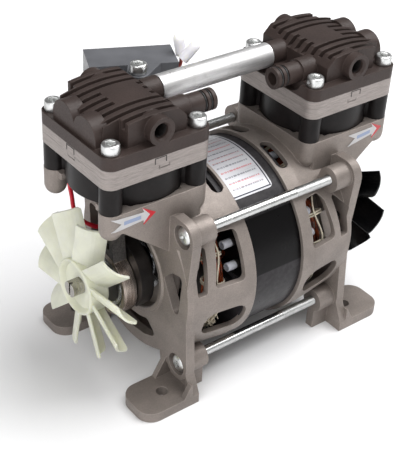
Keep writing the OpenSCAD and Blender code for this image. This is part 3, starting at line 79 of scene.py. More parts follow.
def length(name, description, default, low, high):
    """A length in metres that a user can change."""
    return FloatProperty(
        name=name, description=description, default=default, min=low, max=high, unit="LENGTH", precision=5
    )


class PumpColours(bpy.types.PropertyGroup):
    """Colours of the pump's finishes."""

    casting: colour("Casting", "Cast aluminium of the end brackets", 136, 127, 121)
    head: colour("Head", "Dark brown coating of the finned heads", 57, 47, 44)
    plate: colour("Plate", "Valve plates", 150, 142, 138)
    cylinder: colour("Cylinder", "Black coating of the cylinders", 24, 21, 21)
    core: colour("Core", "Paint on the motor's core", 48, 46, 48)
    zinc: colour("Zinc", "Bright zinc of the screws", 226, 227, 226)
    tube: colour("Tube", "Drawn aluminium of the transfer tube", 214, 213, 213)
    intake_fan: colour("Intake fan", "Natural nylon of the near fan", 205, 206, 188)
    exhaust_fan: colour("Exhaust fan", "Black nylon of the far fan", 8, 8, 9)
    capacitor: colour("Capacitor", "Moulded case of the capacitor", 92, 93, 97)
    wire: colour("Wire", "Enamelled copper of the windings", 118, 52, 32)
    lead: colour("Lead", "Insulation of the red lead", 196, 22, 44)


class PumpSizes(bpy.types.PropertyGroup):
    """Sizes of the pieces that the scene adds."""

    wire_diameter: length("Wire diameter", "Enamelled wire with its varnish", 0.00095, 0.0005, 0.002)
    wires: IntProperty(name="Wires", description="Wires in each coil's bundle", default=11, min=5, max=19)
    cord_diameter: length("Cord diameter", "Lacing cord of the windings", 0.0011, 0.0006, 0.002)
    knurl_teeth: IntProperty(name="Knurl teeth", description="Teeth round a socket screw", default=54, min=24, max=72)
    thread_pitch: length("Thread pitch", "Pitch of the tie bolts' thread", 0.001, 0.0005, 0.0015)
    sticker_thickness: length("Sticker thickness", "Foil of the label and the arrows", 0.00018, 0.0001, 0.0004)
    seed: IntProperty(name="Seed", description="Where the windings' disorder starts", default=7, min=0, max=999)


class PumpStage(bpy.types.PropertyGroup):
    """Light and camera."""

    key_light: FloatProperty(name="Key light", description="Power of the softbox at the left", default=6, min=0, unit="POWER")
    top_light: FloatProperty(name="Top light", description="Power of the softbox overhead", default=16, min=0, unit="POWER")
    fill_light: FloatProperty(name="Fill light", description="Power of the light at the right", default=0.9, min=0, unit="POWER")
    surround: FloatProperty(name="Surround", description="Strength of the white surround", default=0.2, min=0, max=2)


# Shader expressions


class Value:
    """The output of a node, with Python's arithmetic: each operation adds a Math node."""

    def __init__(self, finish, socket):
        self.finish = finish
        self.socket = socket

    def maths(self, operation, *others):
        return self.finish.node("ShaderNodeMath", {"operation": operation}, [self, *others])

    def __add__(self, other):
        return self.maths("ADD", other)

    __radd__ = __add__

    def __mul__(self, other):
        return self.maths("MULTIPLY", other)

    __rmul__ = __mul__

    def __sub__(self, other):
        return self.maths("SUBTRACT", other)

    def __rsub__(self, other):
        return self.finish.node("ShaderNodeMath", {"operation": "SUBTRACT"}, [other, self])

    def __truediv__(self, other):
        return self.maths("DIVIDE", other)

    def __pow__(self, other):
        return self.maths("POWER", other)

    def above(self, edge):
        return self.maths("GREATER_THAN", edge)

    def below(self, edge):
        return self.maths("LESS_THAN", edge)

    def between(self, low, high):
        return self.above(low) * self.below(high)

    def size(self):
        return self.maths("ABSOLUTE")

    def wave(self, turns):
        """A wave between 0 and 1 with that many turns for each unit."""
        return (self * (turns * FULL_TURN)).maths("SINE") * 0.5 + 0.5

    def stretch(self, low, high, to_low=0.0, to_high=1.0):
        """The value's stretch from low to high, clamped and laid over another stretch."""
        return self.finish.node(
            "ShaderNodeMapRange", {"clamp": True}, {0: self, 1: low, 2: high, 3: to_low, 4: to_high}
        )


class Finish:
    """A material's nodes, built from expressions."""

    def __init__(self, name):
        self.material = bpy.data.materials.new(name)
        self.material.use_nodes = True
        self.tree = self.material.node_tree
        self.tree.nodes.clear()
        self.shader = self.tree.nodes.new("ShaderNodeBsdfPrincipled")
        output = self.tree.nodes.new("ShaderNodeOutputMaterial")
        self.tree.links.new(self.shader.outputs[0], output.inputs[0])
        self.bump_below = None

    def node(self, kind, settings=None, inputs=None, output=0):
        """A node of that kind. Settings come first, then the values or links of its sockets."""
        made = self.tree.nodes.new(kind)
        for key, setting in (settings or {}).items():
            setattr(made, key, setting)
        pairs = inputs.items() if isinstance(inputs, dict) else enumerate(inputs or [])
        for key, given in pairs:
            self.feed(made.inputs[key], given)
        return Value(self, made.outputs[output])

    def feed(self, socket, given):
        if isinstance(given, Value):
            self.tree.links.new(given.socket, socket)
        elif hasattr(given, "__len__") and len(socket.default_value) == 4 and len(given) == 3:
            socket.default_value = (*given, 1)
        else:
            socket.default_value = given

    def set(self, **sockets):
        """Feeds the shader's own sockets, named as on the node with underscores."""
        for key, given in sockets.items():
            self.feed(self.shader.inputs[key.replace("_", " ").title().replace("Ior", "IOR")], given)
        return self

    def place(self, scale=(1, 1, 1)):
        """Object coordinates, which are the pump's own."""
        found = self.node("ShaderNodeTexCoord", output="Object")
        if tuple(scale) == (1, 1, 1):
            return found
        return self.node("ShaderNodeVectorMath", {"operation": "MULTIPLY"}, [found, scale])

    def axes(self):
        """The three coordinates, as values."""
        made = self.tree.nodes.new("ShaderNodeSeparateXYZ")
        self.feed(made.inputs[0], self.place())
        return [Value(self, made.outputs[i]) for i in range(3)]

    def flat(self):
        """The two coordinates of the piece's own UV map."""
        made = self.tree.nodes.new("ShaderNodeSeparateXYZ")
        self.feed(made.inputs[0], self.node("ShaderNodeTexCoord", output="UV"))
        return [Value(self, made.outputs[i]) for i in range(2)]

    def noise(self, scale, detail=3.0, roughness=0.55, stretch=(1, 1, 1)):
        return self.node(
            "ShaderNodeTexNoise",
            inputs={"Vector": self.place(stretch), "Scale": scale, "Detail": detail, "Roughness": roughness},
        )

    def cells(self, scale, stretch=(1, 1, 1)):
        """Distance to the nearest of a scatter of points."""
        return self.node("ShaderNodeTexVoronoi", inputs={"Vector": self.place(stretch), "Scale": scale})

    def mix(self, amount, first, second):
        """A colour between two."""
        made = self.tree.nodes.new("ShaderNodeMix")
        made.data_type = "RGBA"
        self.feed(made.inputs[0], amount)
        self.feed(made.inputs[6], first)
        self.feed(made.inputs[7], second)
        return Value(self, made.outputs[2])

    def rounded(self, radius):
        """Edges that catch the light as if they were rounded."""
        self.bump_below = self.node("ShaderNodeBevel", {"samples": 5}, {"Radius": radius})
        return self.bump_below

    def edges(self, radius, gain=6.0):
        """1 along the sharp edges, falling to 0 away from them."""
        soft = self.node("ShaderNodeBevel", {"samples": 5}, {"Radius": radius})
        hard = self.node("ShaderNodeNewGeometry", output="Normal")
        match = self.node("ShaderNodeVectorMath", {"operation": "DOT_PRODUCT"}, [soft, hard], output="Value")
        return ((1 - match) * gain).stretch(0, 1)

    def bump(self, height, depth, strength=1.0):
        """Relief of that depth in metres, on top of what is there."""
        sockets = {"Height": height, "Distance": depth, "Strength": strength}
        if self.bump_below is not None:
            sockets["Normal"] = self.bump_below
        self.bump_below = self.node("ShaderNodeBump", inputs=sockets)
        self.feed(self.shader.inputs["Normal"], self.bump_below)
        return self


def darker(base, share):
    """A colour with that share of its light."""
    return tuple(c * share for c in base)


def brighter(base, gain):
    """A colour with its light multiplied."""
    return tuple(min(c * gain, 1) for c in base)


def cast_metal(name, base, grain=0.00016, metallic=0.45, roughness=0.5, wear_and_highlight=0.3, glare=0.5):
    """Sand-blasted die casting: fine grain, soft blotches, light edges that are partly wear and partly painted
    highlight, and a few stains.
    """
    finish = Finish(name)
    finish.rounded(0.0007)
    blotches = finish.noise(55, 4)
    grit = finish.noise(1300, 2, 0.7)
    stains = finish.cells(120).below(0.035) * finish.noise(40).above(0.57)
    shade = finish.mix(blotches.stretch(0.3, 0.7), darker(base, 0.84), brighter(base, 1.18))
    shade = finish.mix(grit.stretch(0.35, 0.7) * 0.22, shade, darker(base, 0.45))
    # Lighter along the edges: partly worn metal, partly a painted highlight.
    shade = finish.mix(finish.edges(0.0006) * wear_and_highlight, shade, brighter(base, 2.6))
    shade = finish.mix(stains * 0.45, shade, darker(base, 0.35))
    finish.set(base_color=shade, metallic=metallic, specular_ior_level=glare)
    finish.set(roughness=grit.stretch(0.3, 0.75, roughness - 0.08, roughness + 0.14))
    finish.bump(finish.noise(420, 3, 0.6), grain, 0.5)
    finish.bump(grit, grain * 0.6, 0.45)
    return finish


def plate_metal(name, base):
    """Cast plate with the drag lines of its sawn and tumbled side."""
    finish = cast_metal(name, base, 0.0001, 0.5, 0.46, 0.5)
    lines = finish.noise(420, 5, 0.75, (0.3, 0.3, 5))
    finish.set(base_color=finish.mix(lines.stretch(0.35, 0.7), darker(base, 0.74), brighter(base, 1.2)))
    return finish.bump(lines, 0.00006, 0.5)


def coated_cylinder(base):
    """Black anodised casting with a satin sheen."""
    finish = Finish("cylinder black")
    finish.rounded(0.0006)
    cloud = finish.noise(140, 4)
    shade = finish.mix(cloud.stretch(0.35, 0.7), darker(base, 0.7), brighter(base, 1.4))
    # Lighter along the edges: partly wear, partly a painted highlight.
    shade = finish.mix(finish.edges(0.0005) * 0.35, shade, brighter(base, 6))
    finish.set(base_color=shade, roughness=cloud.stretch(0.3, 0.7, 0.3, 0.4), specular_ior_level=0.16)
    return finish.bump(finish.noise(900, 2, 0.6), 0.00006, 0.3)


def laminated_core(base):
    """Black-painted laminations: fine lines across the shaft, and a much darker band on each side."""
    finish = Finish("laminations")
    x, y, z = finish.axes()
    sheets = x.wave(1 / 0.0009)
    angle = (z - SHAFT_HEIGHT).maths("ARCTAN2", y.size())
    band = angle.between(math.radians(6.5), math.radians(41))
    line = (angle - math.radians(6.5)).size().below(0.006) + (angle - math.radians(41)).size().below(0.005)
    shade = finish.mix(finish.noise(300, 3).stretch(0.35, 0.7), darker(base, 0.75), brighter(base, 1.3))
    # Near black from 6.5 to 41 degrees above the shaft's level on each side, with a thin dark line at each edge of the
    # band.
    shade = finish.mix(band, shade, srgb(5, 4, 5))
    shade = finish.mix(sheets.above(0.9) * 0.3, shade, darker(base, 0.2))
    shade = finish.mix(line * 0.8, shade, srgb(12, 12, 13))
    finish.set(base_color=shade, roughness=finish.noise(90).stretch(0.3, 0.7, 0.26, 0.38), specular_ior_level=0.14)
    return finish.bump(sheets, 0.00006, 0.35).bump(finish.noise(500, 3), 0.00005, 0.25)


def plated_steel(name, base, roughness=0.24, soft_edge=0.0002):
    """Bright plating with a slight cloudiness."""
    finish = Finish(name)
    if soft_edge:
        finish.rounded(soft_edge)
    cloud = finish.noise(260, 3)
    shade = finish.mix(cloud.stretch(0.35, 0.7), darker(base, 0.82), base)
    finish.set(base_color=shade, metallic=1.0, roughness=cloud.stretch(0.3, 0.75, roughness - 0.04, roughness + 0.08))
    return finish.bump(finish.noise(1500, 2), 0.000006, 0.15) if soft_edge else finish


def turned_steel(name, base, centre, roughness=0.26, seal=None):
    """Steel turned about the shaft or a crank pin; seal is the ring that a bearing's shield takes."""
    finish = Finish(name)
    finish.rounded(0.0003)
    x, y, z = finish.axes()
    height = z - centre
    radius = (y * y + height * height) ** 0.5
    lines = finish.noise(1, 3, 0.7, (2600, 25, 25)) + finish.noise(900, 2) * 0.4
    shade = finish.mix(lines.stretch(0.55, 0.95), darker(base, 0.72), base)
    if seal:
        shade = finish.mix(radius.between(*seal), shade, srgb(30, 29, 30))
        finish.set(metallic=radius.between(*seal) * -1 + 1)
    else:
        finish.set(metallic=1.0)
    finish.set(base_color=shade, roughness=lines.stretch(0.4, 1.0, roughness - 0.08, roughness + 0.12))
    return finish.bump(lines, 0.00002, 0.4)


def rod_casting(name, base, pin_height):
    """A dark cast shank whose big end is turned bright and holds a coppery sheen."""
    finish = Finish(name)
    finish.rounded(0.0003)
    x, y, z = finish.axes()
    height = z - pin_height
    radius = (y * y + height * height) ** 0.5
    ring = radius.below(0.0209)
    grit = finish.noise(900, 3, 0.7)
    turned = finish.noise(1, 3, 0.7, (2400, 30, 30))
    bright = finish.mix(turned.stretch(0.4, 0.65), darker(base, 0.62), base)
    cast = finish.mix(grit.stretch(0.3, 0.7), srgb(48, 45, 44), srgb(92, 88, 85))
    finish.set(base_color=finish.mix(ring, cast, bright), metallic=ring * 0.65 + 0.3)
    finish.set(roughness=turned.stretch(0.35, 0.7, 0.2, 0.32) * ring + (1 - ring) * 0.5)
    return finish.bump(grit, 0.00005, 0.4)


def drawn_tube(base):
    """Satin drawn tube with lengthwise lines, pits and handling marks."""
    finish = Finish("transfer tube")
    lines = finish.noise(60, 4, 0.7, (0.6, 14, 14))
    pits = finish.cells(210).below(0.1) * finish.noise(70, 2).above(0.54)
    rubs = finish.noise(140, 5, 0.75)
    shade = finish.mix(lines.stretch(0.35, 0.65), darker(base, 0.8), base)
    shade = finish.mix(rubs.stretch(0.5, 0.75) * 0.5, shade, darker(base, 0.62))
    shade = finish.mix(pits * 0.7, shade, srgb(70, 68, 68))
    finish.set(base_color=shade, metallic=0.85, roughness=rubs.stretch(0.3, 0.7, 0.4, 0.56))
    return finish.bump(lines, 0.00004, 0.5).bump(1 - pits, 0.0001, 0.5)


def nylon(name, base, translucency, roughness=0.38, ripple=0.00006, glare=0.5):
    """Moulded nylon, with flow marks, that light goes into."""
    finish = Finish(name)
    finish.rounded(0.0003)
    flow = finish.noise(70, 3, 0.5)
    shade = finish.mix(flow.stretch(0.3, 0.7), darker(base, 0.93), brighter(base, 1.1))
    finish.set(
        base_color=shade,
        roughness=flow.stretch(0.3, 0.7, roughness - 0.06, roughness + 0.08),
        subsurface_weight=translucency,
        subsurface_radius=(0.006, 0.006, 0.004),
        subsurface_scale=1.0,
        specular_ior_level=glare,
    )
    return finish.bump(finish.noise(600, 2), ripple, 0.4)


def slot_insulation(base):
    """White sleeves, darker over their first few millimetres at the core."""
    finish = nylon("white insulation", base, 0.15, 0.42)
    x, y, z = finish.axes()
    # Near black over the part of each sleeve closest to the core.
    root = (x.size() + finish.noise(500, 2) * 0.0012).below(STATOR_HALF + 0.0036)
    sleeve_colour = Value(finish, finish.shader.inputs["Base Color"].links[0].from_socket)
    return finish.set(base_color=finish.mix(root, sleeve_colour, srgb(22, 18, 17)))


def rubber(name, base, roughness=0.55):
    """Moulded rubber with a dusty bloom."""
    finish = Finish(name)
    bloom = finish.noise(380, 4)
    finish.set(base_color=finish.mix(bloom.stretch(0.4, 0.8), base, brighter(base, 1.9)), roughness=roughness)
    return finish.bump(bloom, 0.00005, 0.4)


def enamelled_wire(base):
    """Varnished copper: dark red in the hollows, bright orange where the light reaches."""
    finish = Finish("enamelled copper")
    glint_patches = finish.noise(170, 3)
    varnish = finish.noise(900, 3, 0.65)
    # Random patches of painted highlight: bright orange over a painted dark red shade.
    shade = finish.mix(glint_patches.stretch(0.38, 0.62), darker(base, 0.42), srgb(196, 92, 44))
    shade = finish.mix(varnish.stretch(0.45, 0.75) * 0.5, shade, srgb(58, 28, 22))
    finish.set(base_color=shade, metallic=0.55, roughness=varnish.stretch(0.3, 0.7, 0.2, 0.42), coat_weight=0.5)
    return finish.bump(varnish, 0.00008, 0.5)


def waxed_cord(base):
    """Twisted cotton cord with wax in its strands."""
    finish = Finish("lacing cord")
    fibres = finish.noise(2400, 3, 0.7)
    grime = finish.noise(210, 3)
    shade = finish.mix(fibres.stretch(0.3, 0.7), darker(base, 0.7), base)
    shade = finish.mix(grime.stretch(0.45, 0.75) * 0.5, shade, srgb(138, 112, 84))
    finish.set(base_color=shade, roughness=0.82, sheen_weight=0.2)
    return finish.bump(fibres, 0.00018, 0.8)


def smooth_plastic(name, base, roughness=0.3, grain=0.00005, grain_scale=1100):
    """Extruded or moulded plastic with a faint grain."""
    finish = Finish(name)
    finish.rounded(0.0004)
    grains = finish.noise(grain_scale, 2, 0.6)
    cloud = finish.noise(80, 3)
    shade = finish.mix(cloud.stretch(0.3, 0.7), darker(base, 0.9), brighter(base, 1.12))
    finish.set(base_color=shade, roughness=cloud.stretch(0.3, 0.7, roughness - 0.05, roughness + 0.08))
    return finish.bump(grains, grain, 0.5)


def label_foil():
    """Silver foil with a dark border and ruled lines where a rating plate has its figures."""
    finish = Finish("label foil")
    u, v = finish.flat()
    across = (u - 0.5).size() * LABEL_WIDTH
    along = (v - 0.5).size() * LABEL_LENGTH
    edge = (LABEL_WIDTH / 2 - across).maths("MINIMUM", LABEL_LENGTH / 2 - along)
    border = edge.between(0.001, 0.0019)
    inside = edge.above(0.004)
    rows = (v * LABEL_LENGTH * (1 / 0.0042)).maths("FRACT").between(0.28, 0.56) * inside
    gaps = finish.node("ShaderNodeTexNoise", {"noise_dimensions": "2D"}, {"Vector": finish.node(
        "ShaderNodeVectorMath", {"operation": "MULTIPLY"},
        [finish.node("ShaderNodeTexCoord", output="UV"), (14, 0.01, 1)]), "Scale": 3.0, "Detail": 0.0})
    rows = rows * gaps.above(0.43)
    white = srgb(178, 178, 182)
    red = (v * 7.3).maths("FRACT").above(0.62)
    shade = finish.mix(edge.above(0.0016), srgb(168, 168, 172), white)
    shade = finish.mix(border, shade, srgb(28, 30, 44))
    shade = finish.mix(rows * 0.7, shade, finish.mix(red, srgb(72, 72, 82), srgb(176, 58, 62)))
    brushing = finish.noise(50, 4, 0.7, (1, 26, 26))
    finish.set(base_color=shade, metallic=0.25, roughness=brushing.stretch(0.3, 0.7, 0.25, 0.4))
    return finish.bump(brushing, 0.00002, 0.3)


def arrow_foil():
    """White foil with a red point and a blue rule along its shaft."""
    finish = Finish("arrow sticker")
    u, v = finish.flat()
    point = (u + (v - 0.5).size() * 0.36).above(0.86)
    rule = u.between(0.27, 0.66) * (v - 0.5).size().below(0.11)
    shade = finish.mix(point, srgb(184, 183, 184), srgb(186, 24, 38))
    shade = finish.mix(rule * 0.6, shade, srgb(70, 112, 170))
    soil = finish.noise(180, 3)
    shade = finish.mix(soil.stretch(0.5, 0.8) * 0.25, shade, srgb(150, 140, 132))
    finish.set(base_color=shade, roughness=0.38, coat_weight=0.2)
    return finish.bump(soil, 0.00004, 0.3)


# From where to where the bundles of the coils lie along the shaft at each end, from the pump's middle.
COIL_REACH = {"front": (0.0325, 0.0465), "rear": (0.0315, 0.0465)}
LABEL_WIDTH = 0.031
LABEL_LENGTH = 0.0755
LABEL_MIDDLE_X = -0.0036


def finishes(colours):
    """Every finish of the pump by name."""
    steel = srgb(200, 201, 204)
    made = {
        "casting": cast_metal("cast bracket", tuple(colours.casting)),
        "head": cast_metal("head coating", tuple(colours.head), 0.00014, 0.05, 0.46, 0.3, 0.25),
        "plate": plate_metal("valve plate", tuple(colours.plate)),
        "cylinder": coated_cylinder(tuple(colours.cylinder)),
        "core": laminated_core(tuple(colours.core)),
        "zinc": plated_steel("zinc plate", tuple(colours.zinc), 0.34),
        "shank": plated_steel("zinc shank", darker(tuple(colours.zinc), 0.74), 0.22, 0),
        "thread": plated_steel("zinc thread", darker(tuple(colours.zinc), 0.8), 0.34),
        "shaft": turned_steel("ground shaft", srgb(190, 186, 180), SHAFT_HEIGHT, 0.24),
        "rotor": turned_steel("rotor", srgb(140, 138, 136), SHAFT_HEIGHT, 0.4),
        "weight": plated_steel("counterweight", srgb(70, 68, 68), 0.36),
        "bearing": turned_steel("main bearing", steel, SHAFT_HEIGHT, 0.22, (0.0112, 0.0147)),
        "retainer": turned_steel("cup retainer", srgb(186, 186, 188), SHAFT_HEIGHT, 0.3),
        "black_steel": plated_steel("black steel", srgb(46, 45, 47), 0.3),
        "port": cast_metal("port thread", srgb(26, 22, 21), 0.00005, 0.1, 0.5, 0.1, 0.2),
        # Painted shade for the gaps round the plates' keys, with a rubber look.
        "gap_shade": rubber("plate gap shade", srgb(26, 24, 24), 0.7),
        "reed": plated_steel("reed steel", srgb(176, 178, 182), 0.2),
        "tube": drawn_tube(tuple(colours.tube)),
        "intake_fan": nylon("intake fan nylon", tuple(colours.intake_fan), 0.55),
        "exhaust_fan": nylon("exhaust fan nylon", tuple(colours.exhaust_fan), 0.0, 0.2, 0.00001, 0.22),
        "crimp": nylon("crimp nylon", srgb(240, 237, 236), 0.6, 0.3),
        # The white sleeves get a grey base colour: painted shade.
        "insulation": slot_insulation(srgb(152, 153, 159)),
        "cup": rubber("piston cup", srgb(70, 62, 56), 0.45),
        "ring": rubber("o-ring", srgb(22, 22, 23), 0.4),
        "capacitor": smooth_plastic("capacitor case", tuple(colours.capacitor), 0.36, 0.00009, 1500),
        "lead": smooth_plastic("red lead", tuple(colours.lead), 0.28),
        "grey_lead": smooth_plastic("capacitor lead", srgb(176, 72, 62), 0.32),
        "wire": enamelled_wire(tuple(colours.wire)),
        "cord": waxed_cord(srgb(222, 212, 190)),
        "label": label_foil(),
        "arrow": arrow_foil(),
    }
    for end, height in PIN_HEIGHTS.items():
        made[end + "_rod"] = rod_casting(end + " rod", srgb(210, 196, 186), height)
        made[end + "_rod_bearing"] = turned_steel(end + " rod bearing", steel, height, 0.22, (0.0148, 0.0166))
    return made


FINISHES = {}

# What each CAD node is made of.
NODE_FINISHES = {
    "stator_core": "core",
    "slot_caps": "insulation",
    "shaft": "shaft",
    "rotor_core": "rotor",
    "eccentric_set_screws": "black_steel",
    "transfer_tube": "tube",
    "spigot_o_rings": "ring",
    "capacitor": "capacitor",
    "crimp_caps": "crimp",
    "capacitor_leads": "grey_lead",
    "motor_lead": "lead",
    "front_fan": "intake_fan",
    "rear_fan": "exhaust_fan",
}
END_FINISHES = {
    "bracket": "casting",
    "main_bearing": "bearing",
    "eccentric": "weight",
    "piston_cup": "cup",
    "cup_retainer": "retainer",
    "piston_screw": "black_steel",
    "cylinder": "cylinder",
    "valve_plate": "plate",
    "chamber_plate": "plate",
    "reeds": "reed",
    "head": "head",
}
for end in ENDS:
    NODE_FINISHES.update({f"{end}_{part}": finish for part, finish in END_FINISHES.items()})
    NODE_FINISHES[end + "_rod"] = end + "_rod"
    NODE_FINISHES[end + "_rod_bearing"] = end + "_rod_bearing"


# Mesh helpers


def solids_of(node):
    """The box of each separate solid of a CAD node."""
    form = bmesh.new()
    form.from_mesh(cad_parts[node].data)
    bmesh.ops.remove_doubles(form, verts=form.verts, dist=WELD)
    left, boxes = set(form.verts), []
    while left:
        found, open_ends = set(), [left.pop()]
        while open_ends:
            corner = open_ends.pop()
            found.add(corner)
            for edge in corner.link_edges:
                other = edge.other_vert(corner)
                if other in left:
                    left.remove(other)
                    open_ends.append(other)
        spots = [v.co for v in found]
        boxes.append((Vector(map(min, zip(*spots))), Vector(map(max, zip(*spots)))))
    form.free()
    return boxes


def loft(form, sections, count):
    """A form through rings about Z. A section is its radius, a number or a function of the angle, and its height."""
    made = bmesh.ops.create_circle(form, cap_ends=False, segments=count, radius=1)
    corners = made["verts"]
    edges = list({e for v in corners for e in v.link_edges})
    everything = []
    for number, (radius, height) in enumerate(sections):
        if number:
            made = bmesh.ops.extrude_edge_only(form, edges=edges)["geom"]
            corners = [g for g in made if isinstance(g, bmesh.types.BMVert)]
            edges = [g for g in made if isinstance(g, bmesh.types.BMEdge)]
        for corner in corners:
            angle = math.atan2(corner.co.y, corner.co.x)
            reach = max(radius(angle) if callable(radius) else radius, SMALLEST_RADIUS)
            corner.co = (reach * math.cos(angle), reach * math.sin(angle), height)
        everything += corners
    return everything


def thread(form, radius, depth, pitch, turns, steps=24):
    """A helical V thread about Z from height 0; a negative depth makes an internal one."""
    corners = [
        form.verts.new((reach, 0, height))
        for reach, height in ((radius - depth, 0), (radius, pitch / 2), (radius - depth, pitch))
    ]
    edges = [form.edges.new(pair) for pair in zip(corners, corners[1:])]
    before = set(form.verts) - set(corners)
    bmesh.ops.spin(
        form, geom=corners + edges, cent=(0, 0, 0), axis=(0, 0, 1), dvec=(0, 0, pitch / steps),
        angle=FULL_TURN * turns, steps=steps * turns, use_merge=False,
    )
    return [v for v in form.verts if v not in before]


def put(form, corners, matrix):
    bmesh.ops.transform(form, matrix=matrix, verts=corners)


def facing(direction, place):
    """The matrix that lays Z along a direction and moves the origin to a place."""
    return Matrix.Translation(place) @ Vector(direction).to_track_quat("Z", "Y").to_matrix().to_4x4()


def close_up(form):
    bmesh.ops.remove_doubles(form, verts=form.verts, dist=WELD)
    bmesh.ops.recalc_face_normals(form, faces=form.faces)


def fit_in(obj, finish, body, replaced):
    obj.data.materials.append(FINISHES[finish].material)
    bpy.context.collection.objects.link(obj)
    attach(obj, body)
    if replaced:
        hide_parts(*replaced)
    return obj


def piece(name, form, finish, body="housing", replaced=()):
    """A mesh form as a finished object that moves with a body."""
    mesh = bpy.data.meshes.new(name)
    form.to_mesh(mesh)
    form.free()
    mesh.shade_smooth()
    mesh.set_sharp_from_angle(angle=SMOOTH_ANGLE)
    return fit_in(bpy.data.objects.new(name, mesh), finish, body, replaced)


def strands(name, paths, diameter, finish, replaced=(), closed=False, smoothing=3):
    """Round strands along smooth paths, as one object."""
    curve = bpy.data.curves.new(name, "CURVE")
    curve.dimensions = "3D"
    curve.bevel_depth = diameter / 2
    curve.bevel_resolution = 1
    curve.resolution_u = smoothing
    curve.use_fill_caps = True
    for path in paths:
        spline = curve.splines.new("NURBS")
        spline.points.add(len(path) - 1)
        for point, spot in zip(spline.points, path):
            point.co = (*spot, 1)
        spline.order_u = 4
        spline.use_cyclic_u = closed
        spline.use_endpoint_u = not closed
    holder = bpy.data.objects.new(name + " line", curve)
    bpy.context.collection.objects.link(holder)
    bpy.context.view_layer.update()
    mesh = bpy.data.meshes.new_from_object(holder.evaluated_get(bpy.context.evaluated_depsgraph_get()))
    bpy.data.objects.remove(holder)
    bpy.data.curves.remove(curve)
    mesh.name = name
    mesh.materials.clear()
    mesh.shade_smooth()
    return fit_in(bpy.data.objects.new(name, mesh), finish, "housing", replaced)


def around(radius, angle, x):
    """A point at an angle about the shaft; 0 points at -Y and a quarter turn points up."""
    return Vector((x, -radius * math.cos(angle), SHAFT_HEIGHT + radius * math.sin(angle)))


# Operators


class PUMP_OT_finishes(bpy.types.Operator):
    """Make the finishes and give each CAD node its own"""

    bl_idname = "pump.finishes"
    bl_label = "Finishes"

    def execute(self, context):
        FINISHES.update(finishes(context.scene.pump_colours))
        for node, finish in NODE_FINISHES.items():
            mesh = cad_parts[node].data
            mesh.materials.clear()
            mesh.materials.append(FINISHES[finish].material)
        return {"FINISHED"}


def hexagon(radius):
    """The outline of a hexagon as a function of the angle, from its corner radius."""
    sector = math.pi / 3
    return lambda angle: radius * math.cos(sector / 2) / math.cos(angle % sector - sector / 2)


def cross(arm, half_width):
    """The outline of a cross recess as a function of the angle."""

    def reach(angle):
        off = abs((angle + math.pi / 4) % (math.pi / 2) - math.pi / 4)
        return arm / math.cos(off) if math.tan(off) * arm <= half_width else half_width / math.sin(off)

    return reach


class PUMP_OT_head_screws(bpy.types.Operator):
    """Build the socket screws of both heads, with knurled heads and hexagon sockets"""

    bl_idname = "pump.head_screws"
    bl_label = "Head screws"

    def execute(self, context):
        teeth = context.scene.pump_sizes.knurl_teeth
        head, radius, shank = 6 * MM, 5 * MM, 3 * MM

        def knurled(angle):
            return radius - 0.16 * MM * (0.5 - 0.5 * math.cos(angle * teeth))

        for end in ENDS:
            form = bmesh.new()
            for low, high in solids_of(end + "_head_screws"):
                middle = (low + high) / 2
                top = high.z
                corners = loft(
                    form,
                    [
                        (0, top - head), (radius - 0.5 * MM, top - head), (radius - 0.2 * MM, top - head + 0.2 * MM),
                        (knurled, top - head + 0.5 * MM), (knurled, top - 1.0 * MM),
                        (radius - 0.15 * MM, top - 0.8 * MM), (radius - 0.25 * MM, top - 0.45 * MM),
                        (radius - 0.85 * MM, top), (hexagon(3.05 * MM), top), (hexagon(2.85 * MM), top - 0.25 * MM),
                        (hexagon(2.85 * MM), top - 3 * MM), (0, top - 3.6 * MM),
                    ],
                    2 * teeth,
                )
                corners += loft(form, [(0, top - head), (shank, top - head), (shank, low.z), (0, low.z)], 24)
                put(form, corners, Matrix.Translation((middle.x, middle.y, 0)))
            close_up(form)
            piece(end + "_screws_knurled", form, "zinc", "housing", [end + "_head_screws"])
        return {"FINISHED"}


class PUMP_OT_tie_bolts(bpy.types.Operator):
    """Build the tie bolts: pan heads with a cross recess, plain shanks and threaded ends"""

    bl_idname = "pump.tie_bolts"
    bl_label = "Tie bolts"

    def execute(self, context):
        pitch = context.scene.pump_sizes.thread_pitch
        head, radius, shank = 4.6 * MM, 6 * MM, 3 * MM
        thread_start = 0.0185
        bolts, shanks, threads = bmesh.new(), bmesh.new(), bmesh.new()
        for number, (low, high) in enumerate(solids_of("tie_bolts")):
            middle = (low + high) / 2
            under = low.x + head
            place = facing((-1, 0, 0), (under, middle.y, middle.z))
            corners = loft(
                bolts,
                [
                    (0, 0), (radius, 0), (radius, 0.8 * MM), (radius - 0.25 * MM, 2 * MM), (radius - 0.9 * MM, 3.1 * MM),
                    (radius - 2 * MM, 3.9 * MM), (radius - 3 * MM, 4.3 * MM), (cross(2.8 * MM, 0.62 * MM), 4.4 * MM),
                    (cross(2.2 * MM, 0.5 * MM), 2.9 * MM), (cross(0.9 * MM, 0.4 * MM), 2 * MM), (0, 1.8 * MM),
                ],
                96,
            )
            turn = Matrix.Rotation(0.5 + 1.3 * number, 4, "Z")
            put(bolts, corners, place @ turn)
            plain_end = under - thread_start
            corners = loft(
                shanks, [(0, 0.1 * MM), (shank, 0.1 * MM), (shank, plain_end), (shank - 0.5 * MM, plain_end - 0.4 * MM),
                        (shank - 0.5 * MM, under - high.x), (0, under - high.x)], 32,
            )
            put(shanks, corners, place)
            turns = int((0.05 - thread_start) / pitch)
            corners = thread(threads, shank, 0.55 * MM, pitch, turns)
            put(threads, corners, facing((1, 0, 0), (thread_start + 0.3 * MM, middle.y, middle.z)))
        close_up(bolts)
        close_up(shanks)
        close_up(threads)
        piece("tie_bolts_cross_head", bolts, "zinc", "housing", ["tie_bolts"])
        piece("tie_bolt_shanks", shanks, "shank")
        piece("tie_bolt_threads", threads, "thread")
        return {"FINISHED"}


